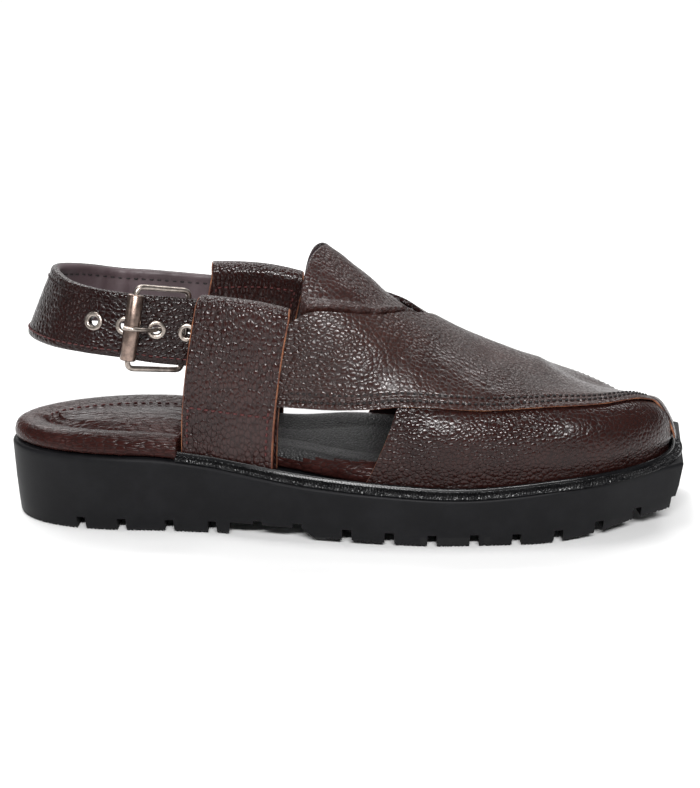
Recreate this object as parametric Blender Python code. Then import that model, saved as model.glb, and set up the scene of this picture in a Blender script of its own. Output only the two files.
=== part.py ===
"""A right peshawari chappal: lugged rubber sole, crossed leather panels, buckled heel strap.

Metres, +Z up, toe towards +X, the wearer's outer side towards -Y.
The origin lies under the middle of the sole's box.
"""
import math

import bmesh
import bpy
import numpy as np
from mathutils import Matrix, Vector

# Driving sizes of the sole. Shares along the shoe count in the last's length from its heel
LAST_LENGTH = 0.295
HEEL_OVERHANG = 0.0030
BALL_WIDTH = 0.102
HEEL_HEIGHT = 0.0338
BALL_HEIGHT = 0.0218
TOE_HEIGHT = 0.0302
TOE_SPRING = 0.0096
TOE_SKEW = 0.0116
SKEW_GAIN = 1.85
HEEL_ROUND = 0.056
WALL_TAPER = 0.0040
HEEL_TAPER = 0.0014
WALL_EDGE = 0.0011

# Tread
LUG_DEPTH = 0.0050
LUG_LENGTH = 0.0160
LUG_PITCH = 0.0174
GROOVE_WIDTH = 0.0042
GROOVE_FLARE = 0.0012
CHANNEL_WIDTH = 0.0036
CHANNEL_DEPTH = 0.0042
CHANNEL_LAP = 0.1
CENTRE_DEPTH = 0.0034
ARCH_DEPTH = 0.0068
ARCH_GROOVE_EXTRA = 0.0010
ARCH_RAMP = 0.0090
WAIST_LIFT = 0.0020
CUT_BELOW = 0.0030

# Driving sizes of the last
INSTEP_HEIGHT = 0.1200
EDGE_HEIGHT = 0.0570
TOE_LENGTH = 0.0560
TOE_EDGE_HEIGHT = 0.0465
SPINE_LENGTH = 0.0390
SPINE_SHIFT = 0.0060

# Leather
CLEARANCE = 0.0003
LINING_DEPTH = 0.0011
WALL_FACE = 0.0003
FAR_FACE = 0.0012
NEAR_FACE = 0.0021
TONGUE_THICKNESS = 0.0018
TONGUE_GAP = 0.0012
INSOLE_THICKNESS = 0.0084
ARCH_SUPPORT = 0.0022
INSOLE_RIM = 0.0200
INSOLE_EDGE = 0.0010
RIM_NARROWING = 0.0065
NOTCH_LEAD = 0.0041425

# Welt
WELT_WIDTH = 0.0056
WELT_REAR_WIDTH = 0.0034
WELT_MARGIN = 0.0006
WELT_BEAD = 0.0034
WELT_GAP = 0.0006
WELT_LEAD = 0.002815

# Bands
BAND_WIDTH = 0.0385
PANEL_LAP = 0.002375
BAND_LEAN = 0.0090
BAND_LEATHER = 0.0018
BAND_SLOT_IN = 0.0022
BAND_SLOT_OUT = 0.0038
BAND_TRIM = 0.0034

# Heel strap
STRAP_WIDTH = 0.0275
STRAP_LEATHER = 0.0017
STRAP_PADDED = 0.0036
STRAP_OFFSET = 0.0008
STRAP_EXIT = 0.01105
STRAP_TUCK = 0.0130
MEDIAL_RISE = 0.0008
STRAP_NARROWING = 0.14
STRAP_HEIGHT = 0.0845

# Buckle and eyelets
EYELET_PITCH = 0.0124
FIRST_EYELET = 0.0142
EYELET_RADIUS = 0.0038
EYELET_HOLE = 0.0019
EYELET_BARREL = 0.0025
EYELET_FLANGE = 0.0006
EYELET_ROUND = 0.0005
HOLE_REACH = 0.0040
WIRE_RADIUS = 0.00115
PRONG_RADIUS = 0.0009
ROLLER_RADIUS = 0.0032
ROLLER_BORE = 0.0016
ROLLER_ROUND = 0.0004
ROLLER_OVERHANG = 0.0012
BUCKLE_MARGIN = 0.0014
BUCKLE_CORNER = 0.0032
SLOT_MARGIN = 0.0006
CHAPE_LEATHER = 0.0011
CHAPE_HEIGHT = 0.0210
CHAPE_GAP = 1.2 * CLEARANCE

HALF_BALL = BALL_WIDTH / 2
LATERAL = -1
MEDIAL = 1

# Half widths of the sole's top edge, as shares of half the ball width
SOLE_SIDES = (
    # along, lateral, medial
    (0.00, 0.659, 0.679),
    (0.20, 0.672, 0.710),
    (0.28, 0.716, 0.726),
    (0.33, 0.782, 0.731),
    (0.39, 0.865, 0.751),
    (0.45, 0.930, 0.803),
    (0.52, 0.985, 0.880),
    (0.61, 1.004, 0.962),
    (0.70, 0.985, 0.990),
    (0.78, 0.945, 0.975),
    (0.85, 0.852, 0.905),
    (0.92, 0.692, 0.772),
    (0.985, 0.556, 0.607),
    (1.00, 0.504, 0.546),
)

# Fall of the sole's top from heel to ball, and its rise from ball to toe
SOLE_TOP = (
    # along, fall, rise
    (0.00, 0.00, 0.00),
    (0.20, 0.02, 0.00),
    (0.27, 0.17, 0.00),
    (0.32, 0.32, 0.00),
    (0.42, 0.65, 0.00),
    (0.53, 0.86, 0.00),
    (0.62, 1.00, 0.00),
    (0.68, 1.00, 0.03),
    (0.77, 1.00, 0.33),
    (0.84, 1.00, 0.60),
    (0.92, 1.00, 0.82),
    (1.00, 1.00, 1.00),
)

# Lift of the tread off the ground at the waist and at the toe, as shares of WAIST_LIFT and TOE_SPRING
SOLE_BOTTOM = (
    # along, waist, toe
    (0.00, 0.00, 0.00),
    (0.26, 0.00, 0.00),
    (0.31, 0.45, 0.00),
    (0.38, 1.00, 0.00),
    (0.46, 1.00, 0.00),
    (0.54, 0.50, 0.00),
    (0.58, 0.16, 0.00),
    (0.60, 0.00, 0.00),
    (0.74, 0.00, 0.00),
    (0.79, 0.00, 0.12),
    (0.86, 0.00, 0.42),
    (0.93, 0.00, 0.72),
    (1.00, 0.00, 1.00),
)

# The sole's side: share of its height from the top down, share of the taper inwards
SOLE_WALL = (
    # down, taper
    (0.04, 0.00),
    (0.10, 0.04),
    (0.50, 0.30),
    (1.00, 1.00),
)

# Sections of the last
# ridge: share of the instep height. shoulder: place between edge and ridge.
# belly and inset: shares of HALF_BALL
LAST = (
    # along, ridge, edge, inset, belly, shoulder_in, shoulder_up
    (0.23, 1.110, 0.98, 0.000, 0.000, 0.14, 0.58),
    (0.36, 1.110, 0.98, 0.000, 0.005, 0.18, 0.60),
    (0.45, 0.998, 0.98, 0.025, 0.010, 0.26, 0.64),
    (0.525, 0.850, 1.00, 0.065, 0.020, 0.33, 0.66),
    (0.555, 0.783, 1.01, 0.075, 0.020, 0.36, 0.67),
    (0.607, 0.697, 0.995, 0.085, 0.030, 0.40, 0.67),
    (0.67, 0.621, 0.970, 0.095, 0.035, 0.42, 0.65),
    (0.73, 0.563, 0.975, 0.110, 0.040, 0.42, 0.62),
    (0.7678, 0.533, 0.980, 0.120, 0.040, 0.42, 0.60),
)

# The toe, turned round the end of the last: share of the quarter turn
TOE = (
    # turn, ridge, edge, inset, belly
    (0.00, 0.533, 1.00, 0.120, 0.040),
    (0.25, 0.484, 0.99, 0.135, 0.040),
    (0.50, 0.445, 0.93, 0.150, 0.034),
    (0.75, 0.422, 0.45, 0.130, 0.020),
    (1.00, 0.408, 0.00, 0.100, 0.006),
)

# How far the last's inner edge lies under its outer edge, as a share of the edge height
INNER_FALL = (
    # along, fall
    (0.60, 0.00),
    (0.68, 0.01),
    (0.76, 0.05),
    (0.82, 0.10),
    (0.88, 0.17),
    (0.925, 0.18),
    (0.965, 0.09),
    (1.00, 0.00),
)

# Levels of the last, counted from the ridge: 1 shoulder, 2 edge, 3 belly, 4 foot
EDGE_LEVEL = 2.0
FOOT_LEVEL = 4.0

# Upper edge of each panel
CROSSING = (0.597, -0.12)
NEAR_UPPER_EDGE = (
    # along, level
    (0.375, -1.33),
    (0.405, -1.25),
    (0.43, -1.13),
    (0.475, -1.02),
    (0.525, -0.83),
    (0.557, -0.55),
    CROSSING,
    (0.640, 0.75),
    (0.680, 1.60),
    (0.700, EDGE_LEVEL),
)
FAR_UPPER_EDGE = (
    # along, level
    (0.375, 1.20),
    (0.43, 1.10),
    (0.475, 1.00),
    (0.525, 0.72),
    (0.557, 0.40),
    CROSSING,
)
PANEL_REAR = 0.375
WINDOW_FRONT = 0.552
WINDOW_SLANT = 0.041
WINDOW_STEPS = 4
LAP_END = NEAR_UPPER_EDGE[-1][0]
TIP_STRIP_START = 0.925
TIP_STRIP_FULL = 0.955
TIP_STRIP_LEVEL = 3.26

# Free edge of the tongue
TONGUE_EDGE = (
    # level, along
    (0.00, 0.4595),
    (0.25, 0.4480),
    (0.50, 0.4350),
    (0.80, 0.4240),
    (1.10, 0.4190),
    (1.50, 0.4200),
    (1.85, 0.4260),
)
TONGUE_FRONT = 0.655

# Section of the insole: share of the rim inwards, share of the thickness
INSOLE_SECTION = (
    # inwards, up
    (0.07, 0.03),
    (0.00, 0.22),
    (0.00, 0.46),
    (0.06, 0.77),
    (0.20, 0.98),
    (0.42, 1.00),
    (0.65, 0.84),
    (0.80, 0.66),
    (0.90, 0.76),
    (1.00, 0.88),
)

# Section of the welt: share of its width outwards, share of the bead's height
WELT_SECTION = (
    # outwards, up
    (0.00, 0.00),
    (0.00, 0.42),
    (0.00, 0.84),
    (0.10, 1.00),
    (0.26, 0.97),
    (0.36, 0.62),
    (0.96, 0.34),
    (1.00, 0.00),
)

# Free run of the heel strap, from the lateral band round the heel to the medial band
# back: place on the way from the heel to the bands, where the run begins and ends at STRAP_RUN[0][0].
# side: share of the strap's half width at the bands. rise and lean: shares of STRAP_WIDTH
STRAP_RUN = (
    # back, side, rise, widen, lean, padded
    (0.290, -1.00, 0.00, 0.010, 0.04, 0.0),
    (0.262, -1.01, 0.08, 0.005, 0.06, 0.0),
    (0.222, -1.11, 0.21, -0.005, 0.10, 0.0),
    (0.182, -1.18, 0.36, -0.025, 0.15, 0.1),
    (0.134, -1.12, 0.49, -0.020, 0.26, 0.6),
    (0.090, -0.86, 0.59, 0.010, 0.38, 1.0),
    (0.060, -0.42, 0.66, 0.050, 0.48, 1.0),
    (0.049, 0.00, 0.68, 0.070, 0.50, 1.0),
    (0.060, 0.43, 0.64, 0.050, 0.48, 1.0),
    (0.092, 0.84, 0.52, 0.010, 0.38, 1.0),
    (0.140, 1.07, 0.32, -0.010, 0.24, 1.0),
    (0.194, 1.11, 0.18, 0.000, 0.12, 0.9),
    (0.249, 1.04, 0.12, -0.010, 0.09, 0.6),
    (0.290, 1.00, 0.09, -0.030, 0.09, 0.2),
)


# The bands cover the panels' rear ends. The strap, the welt and the insole's notch start from the bands
BAND_REAR = PANEL_REAR * LAST_LENGTH - BAND_WIDTH + PANEL_LAP
STRAP_END = BAND_REAR + STRAP_EXIT
WELT_REAR = (BAND_REAR - WELT_LEAD) / LAST_LENGTH
NOTCH = (BAND_REAR - NOTCH_LEAD) / LAST_LENGTH
NOTCH_RUN = 0.004


def read_track(rows, column, place):
    """Smooth value of one column of a table at a place in its first column."""
    places = [row[0] for row in rows]
    values = [row[column] for row in rows]
    if place <= places[0]:
        return values[0]
    if place >= places[-1]:
        return values[-1]
    index = max(i for i, known in enumerate(places) if known <= place)
    span = places[index + 1] - places[index]
    share = (place - places[index]) / span

    def slope(i):
        low = max(i - 1, 0)
        high = min(i + 1, len(rows) - 1)
        return (values[high] - values[low]) / (places[high] - places[low])

    start, end = values[index], values[index + 1]
    square, cube = share * share, share ** 3
    return (
        start * (2 * cube - 3 * square + 1)
        + slope(index) * span * (cube - 2 * square + share)
        + end * (3 * square - 2 * cube)
        + slope(index + 1) * span * (cube - square)
    )


def curve_through(points, place):
    """Point on a smooth curve through points, at a place counted in points."""
    index = min(max(int(math.floor(place)), 0), len(points) - 2)
    share = place - index
    before = points[max(index - 1, 0)]
    start, end = points[index], points[index + 1]
    after = points[min(index + 2, len(points) - 1)]
    square, cube = share * share, share ** 3
    return (
        start * (2 * cube - 3 * square + 1)
        + (end - before) * 0.5 * (cube - 2 * square + share)
        + end * (3 * square - 2 * cube)
        + (after - start) * 0.5 * (cube - square)
    )


def smooth_step(low, high, value):
    share = min(max((value - low) / (high - low), 0.0), 1.0)
    return share * share * (3 - 2 * share)


# The sole's outline and levels
def sole_half_width(along, side):
    """Half width of the sole's top edge, rounded off at the heel."""
    column = 1 if side == LATERAL else 2
    width = read_track(SOLE_SIDES, column, along) * HALF_BALL
    left = 1 - min(along * LAST_LENGTH / HEEL_ROUND, 1.0)
    return width * math.sqrt(1 - left * left)


def sole_edge(along, side):
    """Point of the sole's top edge in plan, with the squared toe skewed forward on the inner side."""
    reach = side * sole_half_width(along, side)
    length = LAST_LENGTH - TOE_SKEW / 2
    skew = TOE_SKEW * smooth_step(0.85, 1.0, along) * reach / BALL_WIDTH * SKEW_GAIN
    overhang = HEEL_OVERHANG * (1 - min(along * LAST_LENGTH / HEEL_ROUND, 1.0))
    return Vector((along * length + skew - overhang, reach, 0.0))


def sole_top(x):
    along = x / LAST_LENGTH
    fall = read_track(SOLE_TOP, 1, along) * (HEEL_HEIGHT - BALL_HEIGHT)
    rise = read_track(SOLE_TOP, 2, along) * (TOE_HEIGHT - BALL_HEIGHT)
    return HEEL_HEIGHT - fall + rise


def sole_bottom(x):
    along = x / LAST_LENGTH
    waist = max(read_track(SOLE_BOTTOM, 1, along), 0.0)
    toe = max(read_track(SOLE_BOTTOM, 2, along), 0.0)
    return waist * WAIST_LIFT + toe * TOE_SPRING


HEEL_TURNS = [math.radians(angle) for angle in (11, 21, 32, 44, 57, 72, 90)]
HEEL_STATIONS = [HEEL_ROUND / LAST_LENGTH * (1 - math.cos(turn)) for turn in HEEL_TURNS]
SOLE_STATIONS = HEEL_STATIONS + [
    0.24, 0.28, 0.32, 0.36, 0.40, 0.45, 0.50, 0.55, 0.61, 0.67, 0.73, 0.79, 0.845, 0.90, 0.95, 0.985, 1.0,
]


def loop_of(lateral, medial):
    """Closed loop: forward along the lateral side and back along the medial side."""
    return list(lateral) + list(reversed(medial))


def inset_loop(loop, distances):
    """Move each point of a loop inwards by its own distance, square to the loop."""
    result = []
    for index, point in enumerate(loop):
        before = (point - loop[index - 1]).normalized()
        after = (loop[(index + 1) % len(loop)] - point).normalized()
        along = (before + after).normalized()
        inwards = Vector((-along.y, along.x, 0.0))
        spread = max(along.dot(before), 0.6)
        result.append(point + inwards * distances[index] / spread)
    return result


SOLE_LOOP = loop_of(
    [sole_edge(along, LATERAL) for along in SOLE_STATIONS],
    [sole_edge(along, MEDIAL) for along in SOLE_STATIONS],
)
ORIGIN = Vector((
    (min(point.x for point in SOLE_LOOP) + max(point.x for point in SOLE_LOOP)) / 2,
    (min(point.y for point in SOLE_LOOP) + max(point.y for point in SOLE_LOOP)) / 2,
    0.0,
))


# The last
def cover_depth(along):
    """What lies outside the last at its foot: the bands behind, the bare wall in front."""
    band = BAND_SLOT_OUT + BAND_LEATHER
    return band + (WALL_FACE - band) * smooth_step(0.39, 0.51, along)


def welt_width(along):
    return WELT_REAR_WIDTH + (WELT_WIDTH - WELT_REAR_WIDTH) * smooth_step(0.26, 0.44, along)


def foot_half_width(along, side):
    outside = WELT_MARGIN + welt_width(along) + CLEARANCE + cover_depth(along)
    return sole_half_width(along, side) - outside


LAST_END = LAST[-1][0]
TIP_X = LAST_LENGTH - TOE_SKEW / 2 - WELT_MARGIN - WELT_WIDTH - CLEARANCE - WALL_FACE
TOE_START_X = TIP_X - TOE_LENGTH
TOE_START = TOE_START_X / LAST_LENGTH


def last_section(along):
    """Nine points across the last at a place, from lateral foot over the ridge to medial foot."""
    if along <= TOE_START:
        place = along / TOE_START * LAST_END
        ridge, edge, inset, belly, shoulder_in, shoulder_up = (
            read_track(LAST, column, place) for column in range(1, 7)
        )
        edge_height = edge * EDGE_HEIGHT
        spine_x = along * LAST_LENGTH
        feet = [Vector((spine_x, side * foot_half_width(along, side), 0)) for side in (LATERAL, MEDIAL)]
    else:
        turn = min((along - TOE_START) / (1 - TOE_START), 1.0)
        ridge, edge, inset, belly = (read_track(TOE, column, turn) for column in range(1, 5))
        shoulder_in, shoulder_up = 0.42, 0.62
        edge_height = TOE_EDGE_HEIGHT + edge * (0.98 * EDGE_HEIGHT - TOE_EDGE_HEIGHT)
        spine_x = TOE_START_X + SPINE_LENGTH * turn
        angle = turn * math.pi / 2
        x = TOE_START_X + TOE_LENGTH * math.sin(angle)
        feet = [
            Vector((x, side * foot_half_width(TOE_START, side) * math.cos(angle), 0))
            for side in (LATERAL, MEDIAL)
        ]
    middle = SPINE_SHIFT * smooth_step(0.40, 0.60, along)
    spine = Vector((spine_x, middle, 0))
    ridge_point = Vector((spine_x, middle, ridge * INSTEP_HEIGHT))
    halves = []
    outer_edge = edge_height
    for side, foot in zip((LATERAL, MEDIAL), feet):
        edge_height = outer_edge
        if side == MEDIAL:
            edge_height -= read_track(INNER_FALL, 1, along) * EDGE_HEIGHT
        reach = (spine - foot).length
        inwards = (spine - foot) / reach
        bottom = sole_top(foot.x) + CLEARANCE
        up = Vector((0, 0, 1))
        foot_point = foot + up * bottom
        belly_point = foot - inwards * belly * HALF_BALL + up * (bottom + 0.45 * (edge_height - bottom))
        edge_point = foot + inwards * inset * HALF_BALL + up * edge_height
        run = (reach - inset * HALF_BALL) * shoulder_in
        rise = edge_height + (ridge * INSTEP_HEIGHT - edge_height) * shoulder_up
        shoulder_point = foot + inwards * (inset * HALF_BALL + run) + up * rise
        halves.append([foot_point, belly_point, edge_point, shoulder_point])
    return halves[0] + [ridge_point] + list(reversed(halves[1]))


def last_point(along, level):
    return curve_through(last_section(along), level + FOOT_LEVEL)


def last_normal(along, level):
    """Outward direction of the last, from the slopes along it and across it."""
    step = 0.004
    place = min(along, 1 - 2 * step)
    across_low = max(level - 0.05, -FOOT_LEVEL)
    across_high = min(level + 0.05, FOOT_LEVEL)
    forward = last_point(place + step, level) - last_point(place - step, level)
    across = last_point(place, across_high) - last_point(place, across_low)
    return forward.cross(across).normalized()


def last_surface(along, level, face):
    """Point at a distance outside the last. At the toe's tip both sides give the same point."""
    normal = last_normal(along, level)
    if along >= 1.0:
        normal = (normal + last_normal(along, -level)).normalized()
        level = -abs(level)
    return last_point(min(along, 1.0), level) + normal * face


def level_at_height(along, height, side):
    """Level on one side of the last that lies at a height."""
    low, high = 0.2, FOOT_LEVEL
    for _ in range(30):
        middle = (low + high) / 2
        if last_point(along, side * middle).z > height:
            low = middle
        else:
            high = middle
    return (low + high) / 2


# Mesh building
def material(name, colour, roughness, metallic=0.0):
    made = bpy.data.materials.new(name)
    made.use_nodes = True
    shader = made.node_tree.nodes["Principled BSDF"]
    shader.inputs["Base Color"].default_value = (*colour, 1.0)
    shader.inputs["Roughness"].default_value = roughness
    shader.inputs["Metallic"].default_value = metallic
    made.diffuse_color = (*colour, 1.0)
    return made


def object_from_faces(name, faces, finish, sharp=40):
    """One closed body from faces given by their corner points. Points that meet become one."""
    mesh = bpy.data.meshes.new(name)
    work = bmesh.new()
    known = {}

    def vertex(point):
        key = tuple(round(value * 1e7) for value in point)
        if key not in known:
            known[key] = work.verts.new(Vector(point) - ORIGIN)
        return known[key]

    for face in faces:
        corners = []
        for point in face:
            corner = vertex(point)
            if corner not in corners:
                corners.append(corner)
        if len(corners) > 2:
            work.faces.new(corners)
    bmesh.ops.triangulate(work, faces=[face for face in work.faces if len(face.verts) > 4])
    bmesh.ops.recalc_face_normals(work, faces=work.faces)
    work.to_mesh(mesh)
    work.free()
    return add_object(name, mesh, finish, sharp)


def add_object(name, mesh, finish, sharp=40):
    mesh.name = name
    mesh.materials.clear()
    mesh.materials.append(finish)
    mesh.shade_smooth()
    mesh.set_sharp_from_angle(angle=math.radians(sharp))
    made = bpy.data.objects.new(name, mesh)
    PARTS.objects.link(made)
    return made


def strip_faces(first, second):
    """Quads between two rows of points."""
    return [
        (first[i], first[i + 1], second[i + 1], second[i])
        for i in range(len(first) - 1)
    ]


def shell_faces(outer, inner):
    """Closed wall between two grids of points: both skins and the four edges."""
    faces = []
    for grid in (outer, inner):
        for row, next_row in zip(grid, grid[1:]):
            faces += strip_faces(row, next_row)
    for row in (0, -1):
        faces += strip_faces(outer[row], inner[row])
    for column in (0, -1):
        faces += strip_faces([row[column] for row in outer], [row[column] for row in inner])
    return faces


def ring_faces(rings):
    """Closed body of stacked loops, each loop made of a lateral and a medial half of equal count."""
    faces = []
    for low, high in zip(rings, rings[1:]):
        faces += strip_faces(low + low[:1], high + high[:1])
    for ring in (rings[0], rings[-1]):
        half = len(ring) // 2
        faces += strip_faces(ring[:half], list(reversed(ring[half:])))
    return faces


def cutter_from_faces(name, faces):
    made = object_from_faces(name, faces, RUBBER)
    PARTS.objects.unlink(made)
    CUTTERS.objects.link(made)
    made.hide_render = True
    made.display_type = "WIRE"
    return made


def cut(target, cutter):
    """Apply one Boolean cut to the target's mesh."""
    modifier = target.modifiers.new(cutter.name, "BOOLEAN")
    modifier.operation = "DIFFERENCE"
    modifier.solver = "EXACT"
    modifier.object = cutter
    bpy.context.view_layer.update()
    view = target.evaluated_get(bpy.context.evaluated_depsgraph_get())
    mesh = bpy.data.meshes.new_from_object(view)
    target.modifiers.remove(modifier)
    target.data = mesh
    bpy.data.objects.remove(cutter, do_unlink=True)


def mesh_of_curve(curve_object):
    """Mesh of a bevelled curve, with its caps welded on."""
    bpy.context.view_layer.update()
    view = curve_object.evaluated_get(bpy.context.evaluated_depsgraph_get())
    mesh = bpy.data.meshes.new_from_object(view)
    work = bmesh.new()
    work.from_mesh(mesh)
    bmesh.ops.remove_doubles(work, verts=work.verts, dist=0.00001)
    bmesh.ops.recalc_face_normals(work, faces=work.faces)
    work.to_mesh(mesh)
    work.free()
    bpy.data.objects.remove(curve_object, do_unlink=True)
    return mesh


def wire(name, points, radius, finish, closed=False, sides=2):
    """Round wire through points, as one closed mesh."""
    data = bpy.data.curves.new(name, "CURVE")
    data.dimensions = "3D"
    data.bevel_depth = radius
    data.bevel_resolution = sides
    data.use_fill_caps = not closed
    line = data.splines.new("POLY")
    line.points.add(len(points) - 1)
    for knot, point in zip(line.points, points):
        knot.co = (*(point - ORIGIN), 1.0)
    line.use_cyclic_u = closed
    made = bpy.data.objects.new(name, data)
    PARTS.objects.link(made)
    return add_object(name, mesh_of_curve(made), finish, 60)


# Outsole
def sole_ring(down, taper, edge=0.0):
    tapers = [
        HEEL_TAPER + (WALL_TAPER - HEEL_TAPER) * smooth_step(0, HEEL_ROUND, point.x) for point in SOLE_LOOP
    ]
    ring = []
    for point in inset_loop(SOLE_LOOP, [taper * share + edge for share in tapers]):
        top = sole_top(point.x)
        bottom = sole_bottom(point.x)
        ring.append(Vector((point.x, point.y, top + (bottom - top) * down)))
    return ring


def prism_faces(profile, low, high):
    """Body with a profile in X and Z, given from low to high along Y."""
    near = [Vector((x, low, z)) for x, z in profile]
    far = [Vector((x, high, z)) for x, z in profile]
    return [near, far] + strip_faces(near + near[:1], far + far[:1])


def groove_cutter(name, x, depth, low, high, width):
    """Groove across the sole, wider at the ground."""
    ground = -0.002
    ceiling = sole_bottom(x) + depth
    half = width / 2
    profile = [
        (x - half, ceiling),
        (x + half, ceiling),
        (x + half + GROOVE_FLARE, ground),
        (x - half - GROOVE_FLARE * 0.4, ground),
    ]
    return cutter_from_faces(name, prism_faces(profile, low, high))


def channel_cutter(name, side, first, last):
    """Lengthwise groove that parts the side lugs from the middle of the tread."""
    steps = 7
    outer, inner = [], []
    for step in range(steps):
        along = first + (last - first) * step / (steps - 1)
        x = along * LAST_LENGTH
        edge = side * (sole_half_width(along, side) - WALL_TAPER - LUG_LENGTH)
        ceiling = sole_bottom(x) + CHANNEL_DEPTH
        inside = edge - side * CHANNEL_WIDTH
        outer.append([Vector((x, edge, -CUT_BELOW)), Vector((x, edge, ceiling))])
        inner.append([Vector((x, inside, -CUT_BELOW)), Vector((x, inside, ceiling))])
    return cutter_from_faces(name, shell_faces(outer, inner))


HEEL_GROOVES = (0.102, 0.161, 0.230, 0.292)
ARCH_GROOVES = (0.358, 0.414)
FORE_GROOVE_START = 0.483
FORE_GROOVES = [FORE_GROOVE_START + index * LUG_PITCH / LAST_LENGTH for index in range(9)]
ARCH_START = 0.3185
ARCH_END = 0.4520


def make_outsole():
    rings = [sole_ring(0.0, 0.0, WALL_EDGE)]
    rings += [sole_ring(down, taper) for down, taper in SOLE_WALL]
    sole = object_from_faces("outsole", ring_faces(rings), RUBBER)
    reach = HALF_BALL * 1.2
    arch_low = ARCH_START * LAST_LENGTH
    arch_high = ARCH_END * LAST_LENGTH
    arch = [
        (arch_low, ARCH_DEPTH),
        (arch_high - ARCH_RAMP, ARCH_DEPTH),
        (arch_high, -0.001),
        (arch_low - 0.001, -0.001),
    ]
    cut(sole, cutter_from_faces("arch_cutter", prism_faces(arch, -reach, reach)))
    for side in (LATERAL, MEDIAL):
        cut(sole, channel_cutter("heel_channel", side, 0.085, ARCH_START - 0.008))
        cut(sole, channel_cutter("fore_channel", side, ARCH_END + 0.008, 0.935))
        for along in HEEL_GROOVES + ARCH_GROOVES + tuple(FORE_GROOVES):
            depth = LUG_DEPTH + (ARCH_GROOVE_EXTRA if along in ARCH_GROOVES else 0.0)
            length = LUG_LENGTH + WALL_TAPER - CHANNEL_WIDTH * CHANNEL_LAP
            low = side * (sole_half_width(along, side) - length)
            high = side * reach
            x = along * LAST_LENGTH
            cut(sole, groove_cutter("side_groove", x, depth, min(low, high), max(low, high), GROOVE_WIDTH))
    centre = [along + LUG_PITCH / LAST_LENGTH / 2 for along in HEEL_GROOVES[:-1] + tuple(FORE_GROOVES[:-1])]
    for along in centre:
        inside = LUG_LENGTH + WALL_TAPER + CHANNEL_WIDTH * 0.5
        low = -(sole_half_width(along, LATERAL) - inside)
        high = sole_half_width(along, MEDIAL) - inside
        x = along * LAST_LENGTH
        cut(sole, groove_cutter("centre_groove", x, CENTRE_DEPTH, low, high, GROOVE_WIDTH * 0.8))
    finish_cut_mesh(sole)
    return sole


def finish_cut_mesh(made):
    """Weld what the cuts left a hair apart and shade the piece again."""
    work = bmesh.new()
    work.from_mesh(made.data)
    bmesh.ops.remove_doubles(work, verts=work.verts, dist=0.000002)
    bmesh.ops.dissolve_degenerate(work, edges=work.edges, dist=0.000002)
    bmesh.ops.triangulate(work, faces=[face for face in work.faces if len(face.verts) > 4])
    bmesh.ops.recalc_face_normals(work, faces=work.faces)
    work.to_mesh(made.data)
    work.free()
    made.data.shade_smooth()
    made.data.set_sharp_from_angle(angle=math.radians(40))


# Welt
WELT_STATIONS = [WELT_REAR, 0.27, 0.31, 0.35, 0.39, 0.43, 0.47, 0.51, 0.56, 0.61, 0.66, 0.71]
TOE_TURNS = [
    TOE_START + (1 - TOE_START) * turn for turn in (0.0, 0.15, 0.3, 0.43, 0.56, 0.68, 0.79, 0.9, 1.0)
]


def around_toe(stations):
    """Places along both sides: forward on the lateral side, back on the medial side."""
    forward = [(along, LATERAL) for along in stations]
    back = [(along, MEDIAL) for along in reversed(stations[:-1])]
    return forward + back


def foot_outwards(along, side):
    section = last_section(along)
    foot = section[0] if side == LATERAL else section[-1]
    spine = section[4]
    outwards = Vector((foot.x - spine.x, foot.y - spine.y, 0)).normalized()
    return foot, outwards


def wall_bulge(along, side, foot, outwards, height):
    """How far the wall stands out over its foot at a height, so that the welt can follow it."""
    level = level_at_height(along, sole_top(foot.x) + CLEARANCE + height, side)
    here = last_point(along, side * level)
    return max((here - foot).dot(outwards), 0.0)


def make_welt():
    rows = []
    for along, side in around_toe(WELT_STATIONS + TOE_TURNS):
        foot, outwards = foot_outwards(along, side)
        start = foot + outwards * (cover_depth(along) + WELT_GAP)
        row = []
        for out, up in WELT_SECTION:
            bulge = wall_bulge(along, side, foot, outwards, up * WELT_BEAD)
            point = start + outwards * (bulge + out * (welt_width(along) - bulge))
            row.append(Vector((point.x, point.y, sole_top(point.x) + CLEARANCE + up * WELT_BEAD)))
        rows.append(row + row[:1])
    faces = [rows[0][:-1], rows[-1][:-1]]
    for row, next_row in zip(rows, rows[1:]):
        faces += strip_faces(row, next_row)
    return object_from_faces("welt", faces, WELT_RUBBER, 35)


# Insole
def insole_pair(along, side):
    """Outer edge and pad edge of the insole at a place."""
    rim = INSOLE_RIM
    if along <= NOTCH:
        edge = sole_edge(along, side)
        edge.y -= side * INSOLE_EDGE
        start = 1 - min(along * LAST_LENGTH / HEEL_ROUND, 1.0)
        edge.x += INSOLE_EDGE * start
        width = max(abs(edge.y) - rim * math.sqrt(1 - start * start), 0.001)
        return edge, Vector((edge.x + (rim - INSOLE_EDGE) * start, side * width, 0))
    foot, outwards = foot_outwards(along, side)
    depth = BAND_SLOT_IN + BAND_LEATHER + CLEARANCE
    edge = foot - outwards * depth
    share = smooth_step(NOTCH, 0.42, along)
    run = (rim - RIM_NARROWING) + RIM_NARROWING * share
    return edge, edge - outwards * run * (1 - 0.35 * smooth_step(TOE_START, 1.0, along))


def arch_share(point):
    """Where the footbed is lifted under the foot's inner arch."""
    along = point.x / LAST_LENGTH
    length = smooth_step(0.28, 0.42, along) * (1 - smooth_step(0.46, 0.64, along))
    return length * smooth_step(-0.005, 0.030, point.y)


INSOLE_STATIONS = HEEL_STATIONS + sorted([
    0.222, NOTCH, NOTCH + NOTCH_RUN, 0.28, 0.32, 0.36, 0.40, 0.45, 0.50, 0.56, 0.62, 0.68, 0.73,
])


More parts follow.
